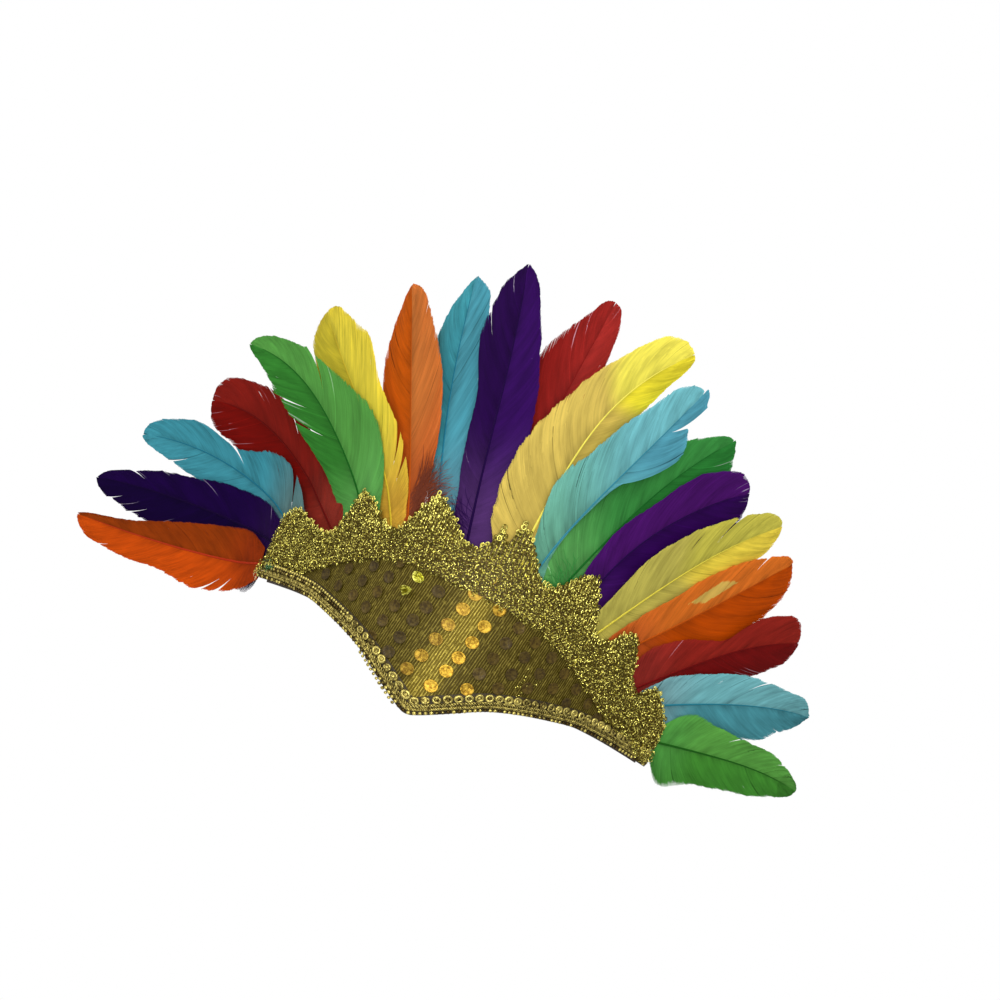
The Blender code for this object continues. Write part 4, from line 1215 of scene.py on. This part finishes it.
def make_lace(tree, ground_material, thread_material):
    """Gold lace: a dark net ground, chained threads all over it and a looped edge."""
    make_lace_ground(ground_material)
    rng = np.random.default_rng(5)
    stitches, loops = ([], [], [], []), ([], [], [], [])
    for arc in np.arange(LACE_START + 0.5 * MM, LACE_END, LACE_PITCH):
        lace_column(rng, arc, stitches, loops)
    for arc, high in LACE_FINGERS:
        top = float(lace_top(arc * MM)) + high * MM
        for k in range(4):
            add_spot(loops, (arc * MM, -(LACE_FRONT + 0.5 * MM), top - 1.7 * k * MM),
                     (0.0, rng.normal(0, 0.1), 0.0), (1.15, 1.3, 1.0), rng.choice([-0.2, 0.8]))
    for _ in range(26):
        place = (rng.normal(38, 5) * MM, -(PANEL_FRONT + 0.45 * MM), rng.normal(29, 4) * MM)
        add_spot(stitches, place, (0.0, rng.uniform(0, 3), 0.0), (0.9, 0.9, 1.0), 2.2)
    shape = spindle("stitch_blank", STITCH_WIDTH, STITCH_LENGTH)
    shape.data.shade_flat()
    place_shapes("lace_stitches", tree, shape, stitches, thread_material, "gold_lace")
    shape = loop_shape("lace_loop_blank", 0.72 * MM, 0.85 * MM, 0.26 * MM, 9, 4)
    place_shapes("lace_loops", tree, shape, loops, thread_material, "gold_lace")
    for name, colour, count, arc, height in THREAD_TUFTS:
        yarn = felt_material(name, colour, tuple(min(255, c + 30) for c in colour))
        places = [((arc + rng.normal(0, 2.0)) * MM, -(LACE_FRONT + rng.uniform(1.0, 1.7) * MM),
                   (height + rng.normal(0, 1.1)) * MM) for _ in range(count)]
        turns = [(0.0, rng.normal(1.2, 0.5), 0.0) for _ in range(count)]
        shape = spindle(name + "_blank", 0.6 * STITCH_WIDTH, 3.0 * STITCH_LENGTH)
        place_shapes(name + "_ends", tree, shape,
                     (places, turns, np.ones((count, 3)), np.zeros(count)), yarn, "gold_lace")


# Braid: where its rows run, as shares of its width from the lower edge
LOOP_ROW = 0.77
BEAD_ROW = 0.11
FRINGE_ROW = -0.07
LOOP_SPACING = 4.2 * MM
# Left of this arc two rows of beads take the place of the loops: name, row, range of tones
LOOPS_END = -42 * MM
LEFT_BEAD_ROWS = [("braid_edge_beads", 0.88, (-0.2, 1.5)),
                  ("braid_middle_beads", 0.68, (-1.2, 0.9))]
# Strands: row, pitch of the twist and its width in mm
STRANDS = [(0.47, 3.4, 1.5), (0.30, 2.6, 0.9)]
BEAD_PROFILE = [(0.25, 0.62), (0.72, 0.35), (0.86, 0.0), (0.72, -0.35), (0.25, -0.62)]


def braid_path(share):
    """A path along the braid, at a share of its width from its lower edge."""
    arcs = np.linspace(-HALF_ARC + LEFT_TRIM + 0.5 * MM, HALF_ARC - RIGHT_TRIM - 0.5 * MM, 700)
    low = lower_edge(arcs) - BRAID_OVERHANG
    heights = low + (braid_top(arcs) - low) * share
    return arcs, heights


def even_along(arcs, heights, spacing):
    """Places at an even distance along a flat path, with the path's slope at each."""
    run = np.concatenate([[0], np.cumsum(np.hypot(np.diff(arcs), np.diff(heights)))])
    at = np.arange(spacing / 2, run[-1], spacing)
    slope = np.arctan2(np.gradient(heights), np.gradient(arcs))
    return np.interp(at, run, arcs), np.interp(at, run, heights), np.interp(at, run, slope)


def make_braid(tree, twist, ground_material, thread_material):
    """Looped gimp braid: round loops, twisted strands, and rows of small beads."""
    rows = 7
    places, uvs = [], []
    for arc in arc_places(200):
        low = float(lower_edge(arc)) - BRAID_OVERHANG
        high = float(braid_top(arc))
        for k in range(rows):
            share = k / (rows - 1)
            crown = 0.9 * MM * (1 - (2 * share - 1) ** 4)
            places.append((arc, -(TRIM_BACK + 0.1 * MM + crown), low + (high - low) * share))
            uvs.append((arc, share * BRAID_WIDTH))
        for k in (1, 0):
            places.append((arc, -TRIM_BACK, low + (high - low) * k))
            uvs.append((arc, k * BRAID_WIDTH))
    sew("braid_ground", bend(np.array(places)), uvs, rows + 2, ground_material, "gold_braid",
        "braid_trim", 1.6 * BRAID_WIDTH, 2.2 * HALF_ARC)
    rng = np.random.default_rng(12)

    def row_of(name, share, spacing, shape, proud, wobble, tones, span=(-1.0, 1.0)):
        at, heights, slopes = even_along(*braid_path(share), spacing)
        kept = (at > span[0]) & (at < span[1])
        at, heights, slopes = at[kept], heights[kept], slopes[kept]
        count = len(at)
        places = np.stack([at, np.full(count, -(TRIM_BACK + proud)), heights], axis=1)
        turns = np.stack([rng.normal(0, wobble, count),
                          slopes + rng.normal(0, wobble, count),
                          rng.normal(0, wobble, count)], axis=1)
        sizes = np.ones((count, 3)) * rng.uniform(0.9, 1.1, (count, 1))
        place_shapes(name, tree, shape, (places, turns, sizes, rng.uniform(*tones, count)),
                     thread_material, "gold_braid")

    def bead(scale):
        return lathe("bead_blank", [(r * scale * MM, h * scale * MM) for r, h in BEAD_PROFILE], 7)

    loop = loop_shape("loop_blank", 1.45 * MM, 1.25 * MM, 0.66 * MM, 14, 6)
    row_of("braid_loops", LOOP_ROW, LOOP_SPACING, loop, 1.40 * MM, 0.12, (-0.2, 0.7),
           (LOOPS_END, 1.0))
    heart = loop_shape("heart_blank", 0.46 * MM, 0.38 * MM, 0.48 * MM, 10, 5)
    row_of("braid_loop_hearts", LOOP_ROW, LOOP_SPACING, heart, 1.45 * MM, 0.2, (-0.5, 0.6),
           (LOOPS_END, 1.0))
    row_of("braid_beads", BEAD_ROW, 2.15 * MM, bead(1.0), 0.95 * MM, 0.2, (-1.2, 1.3))
    for name, share, tones in LEFT_BEAD_ROWS:
        row_of(name, share, 1.9 * MM, bead(0.95), 1.35 * MM, 0.2, tones, (-1.0, LOOPS_END))
    row_of("braid_fringe", FRINGE_ROW, 2.3 * MM, bead(0.9), 0.6 * MM, 0.3, (-0.2, 0.9),
           (-30 * MM, -4 * MM))
    for number, (share, pitch, wide) in enumerate(STRANDS, 1):
        arcs_at, heights, _ = even_along(*braid_path(share), 0.5 * MM)
        path = [(a, -(TRIM_BACK + 1.25 * MM), h) for a, h in zip(arcs_at, heights)]
        guide = guide_mesh("strand_path", path, {}, [(k, k + 1) for k in range(len(path) - 1)])
        cord = grow(f"braid_strand_{number}", guide, twist, {
            "Strands": 3, "Strand Width": 0.60 * MM, "Twist Width": wide * MM,
            "Twist Depth": 0.7 * MM, "Twist Pitch": pitch * MM, "Point Spacing": 0.4 * MM,
            "Material": thread_material}, bend)
        dress(cord, "gold_braid")


TAB_STEPS = 6
HALF_BOW_STEPS = 60


def make_elastic(material):
    """Flat woven elastic: a tab behind each end of the band and one even bow round the head."""
    centre = -CLEARANCE - ELASTIC_WALL / 2
    end_across = float(np.interp(HALF_ARC, ARC_AT, ACROSS_AT))
    slope = float(plan_slope(end_across))
    slope_length = math.hypot(1, slope)
    end = bend(np.array([[HALF_ARC, -centre, BROW_HEIGHT]]))[0]
    tabs = [bend(np.array([[HALF_ARC - ELASTIC_TAB * (1 - k / TAB_STEPS), -centre,
                            BROW_HEIGHT]]))[0] for k in range(TAB_STEPS)]
    route = [(p[0], p[1]) for p in tabs]
    for k in range(HALF_BOW_STEPS + 1):
        t = k / HALF_BOW_STEPS
        start_share = (1 + 2 * t) * (1 - t) ** 2
        across = start_share * end[0] + ELASTIC_SIDE_PULL / slope_length * t * (1 - t) ** 2
        across += ELASTIC_BACK_PULL * t * t * (1 - t)
        back = (start_share * end[1] + ELASTIC_SIDE_PULL * slope / slope_length
                * t * (1 - t) ** 2 + t * t * (3 - 2 * t) * HEAD_DEPTH)
        route.append((across, back))
    route += [(-a, b) for a, b in reversed(route[:-1])]
    places, uvs, run, rows = [], [], 0.0, 7
    for k, (across, back) in enumerate(route):
        before, after = route[max(k - 1, 0)], route[min(k + 1, len(route) - 1)]
        along = np.array([after[0] - before[0], after[1] - before[1]])
        along /= np.linalg.norm(along)
        if k:
            run += math.hypot(across - route[k - 1][0], back - route[k - 1][1])
        side = np.array([along[1], -along[0]]) * ELASTIC_WALL / 2
        for face in (1, -1):
            order = range(rows) if face > 0 else reversed(range(rows))
            for j in order:
                height = ELASTIC_WIDTH * (j / (rows - 1) - 0.5)
                thin = 0.55 if j in (0, rows - 1) else 1.0
                places.append((across + face * side[0] * thin, back + face * side[1] * thin,
                               height))
                uvs.append((run, height))
    sew("woven_elastic", places, uvs, 2 * rows, material, "elastic_cloth", "elastic_strap",
        1.3 * ELASTIC_WIDTH, run)


# Studio: the photo is square, and its scale is taken at the peak
PHOTO_SIDE = 1000
MM_PER_PIXEL = 0.43
CAMERA_AIM = Vector((-3.5, 0.0, 68.0)) * MM
CAMERA_AWAY = 0.9
CAMERA_AZIMUTH = math.radians(7)
CAMERA_ROLL = math.radians(25.5)
SENSOR = 36
FLOOR_RADIUS = 0.42
FLOOR_LEVEL = -0.45
FLOOR_SIDES = 64
LIGHT_AIM = Vector((0.0, 0.0, 0.05))
# Name, place, width, height and power of each soft light
SOFTBOXES = [("front_box", (0.16, -1.15, 0.12), 0.75, 0.5, 8.5),
             ("top_box", (0.1, -0.7, 1.2), 1.2, 0.8, 13),
             ("left_box", (-1.2, -0.7, 0.5), 0.6, 0.8, 5),
             ("back_box", (0.3, 1.2, 0.9), 0.9, 0.6, 10)]


def make_camera():
    azimuth, roll = CAMERA_AZIMUTH, CAMERA_ROLL
    forward = Vector((-math.sin(azimuth), math.cos(azimuth), 0.0))
    right = Vector((math.cos(azimuth), math.sin(azimuth), 0.0))
    up = Vector((0.0, 0.0, 1.0))
    seen_right = right * math.cos(roll) + up * math.sin(roll)
    seen_up = up * math.cos(roll) - right * math.sin(roll)
    lens = bpy.data.cameras.new("camera")
    lens.sensor_width = SENSOR
    lens.lens = SENSOR * CAMERA_AWAY / MM / MM_PER_PIXEL / PHOTO_SIDE
    camera = put_in_scene("camera", lens)
    turn = Matrix((seen_right, seen_up, -forward)).transposed()
    camera.matrix_world = (Matrix.Translation(CAMERA_AIM - forward * CAMERA_AWAY)
                           @ turn.to_4x4())
    bpy.context.scene.camera = camera


def make_floor():
    mesh = bpy.data.meshes.new("floor")
    angles = [2 * math.pi * k / FLOOR_SIDES for k in range(FLOOR_SIDES)]
    ring = [(FLOOR_RADIUS * math.cos(a), FLOOR_RADIUS * math.sin(a), FLOOR_LEVEL)
            for a in angles]
    mesh.from_pydata(ring, [], [tuple(range(FLOOR_SIDES))])
    material, tree, shader = new_material("pale_floor")
    fill(tree, shader, {"Base Color": (0.86, 0.86, 0.86, 1.0), "Roughness": 0.9})
    mesh.materials.append(material)
    put_in_scene("floor", mesh)


def make_studio():
    """Camera, floor, paper-white surroundings and soft lights."""
    make_camera()
    make_floor()
    world = bpy.data.worlds.new("studio")
    bpy.context.scene.world = world
    world.use_nodes = True
    tree = world.node_tree
    tree.nodes.clear()
    path = tree.nodes.new("ShaderNodeLightPath")
    room = add_node(tree, "ShaderNodeBackground", {"Color": (0.97, 0.95, 0.91, 1.0),
                                                   "Strength": 0.36})
    paper = add_node(tree, "ShaderNodeBackground", {"Color": (1.0, 1.0, 1.0, 1.0),
                                                    "Strength": 1.0})
    both = add_node(tree, "ShaderNodeMixShader", {0: path.outputs["Is Camera Ray"],
                                                  1: room.outputs[0], 2: paper.outputs[0]})
    out = tree.nodes.new("ShaderNodeOutputWorld")
    tree.links.new(both.outputs[0], out.inputs[0])

    for name, place, width, height, power in SOFTBOXES:
        light = bpy.data.lights.new(name, "AREA")
        light.shape = "RECTANGLE"
        light.size, light.size_y = width, height
        light.energy = power
        lamp = put_in_scene(name, light)
        lamp.location = place
        lamp.rotation_euler = (LIGHT_AIM - Vector(place)).to_track_quat("-Z", "Y").to_euler()

    view = bpy.context.scene.view_settings
    view.view_transform = "Standard"
    view.look = "None"
    view.exposure = 0.0


def main():
    make_studio()
    placing, twisting = placing_tree(), twist_tree()
    cloth = cloth_material("sequin_cloth_weave")
    foil = sequin_material("gold_foil")
    net = metal_thread_material("lace_net", (112, 92, 20), (46, 36, 6), 0.6, 1400.0, 0.5, 0.3)
    gold = metal_thread_material("lace_yarn", (252, 242, 124), (98, 86, 18), 0.30, 900.0)
    gimp_ground = metal_thread_material("gimp_ground", (66, 53, 20), (28, 20, 7), 0.6, 1200.0,
                                        0.5, 0.3)
    gimp = metal_thread_material("gimp_yarn", (206, 190, 104), (70, 54, 16), 0.34, 900.0)
    make_cloth(cloth)
    make_lining(felt_material("brown_felt", (38, 26, 16), (88, 66, 44)))
    make_sequins(placing, foil)
    make_lace(placing, net, gold)
    make_braid(placing, twisting, gimp_ground, gimp)
    make_feathers()
    make_elastic(elastic_material("black_elastic"))


main()
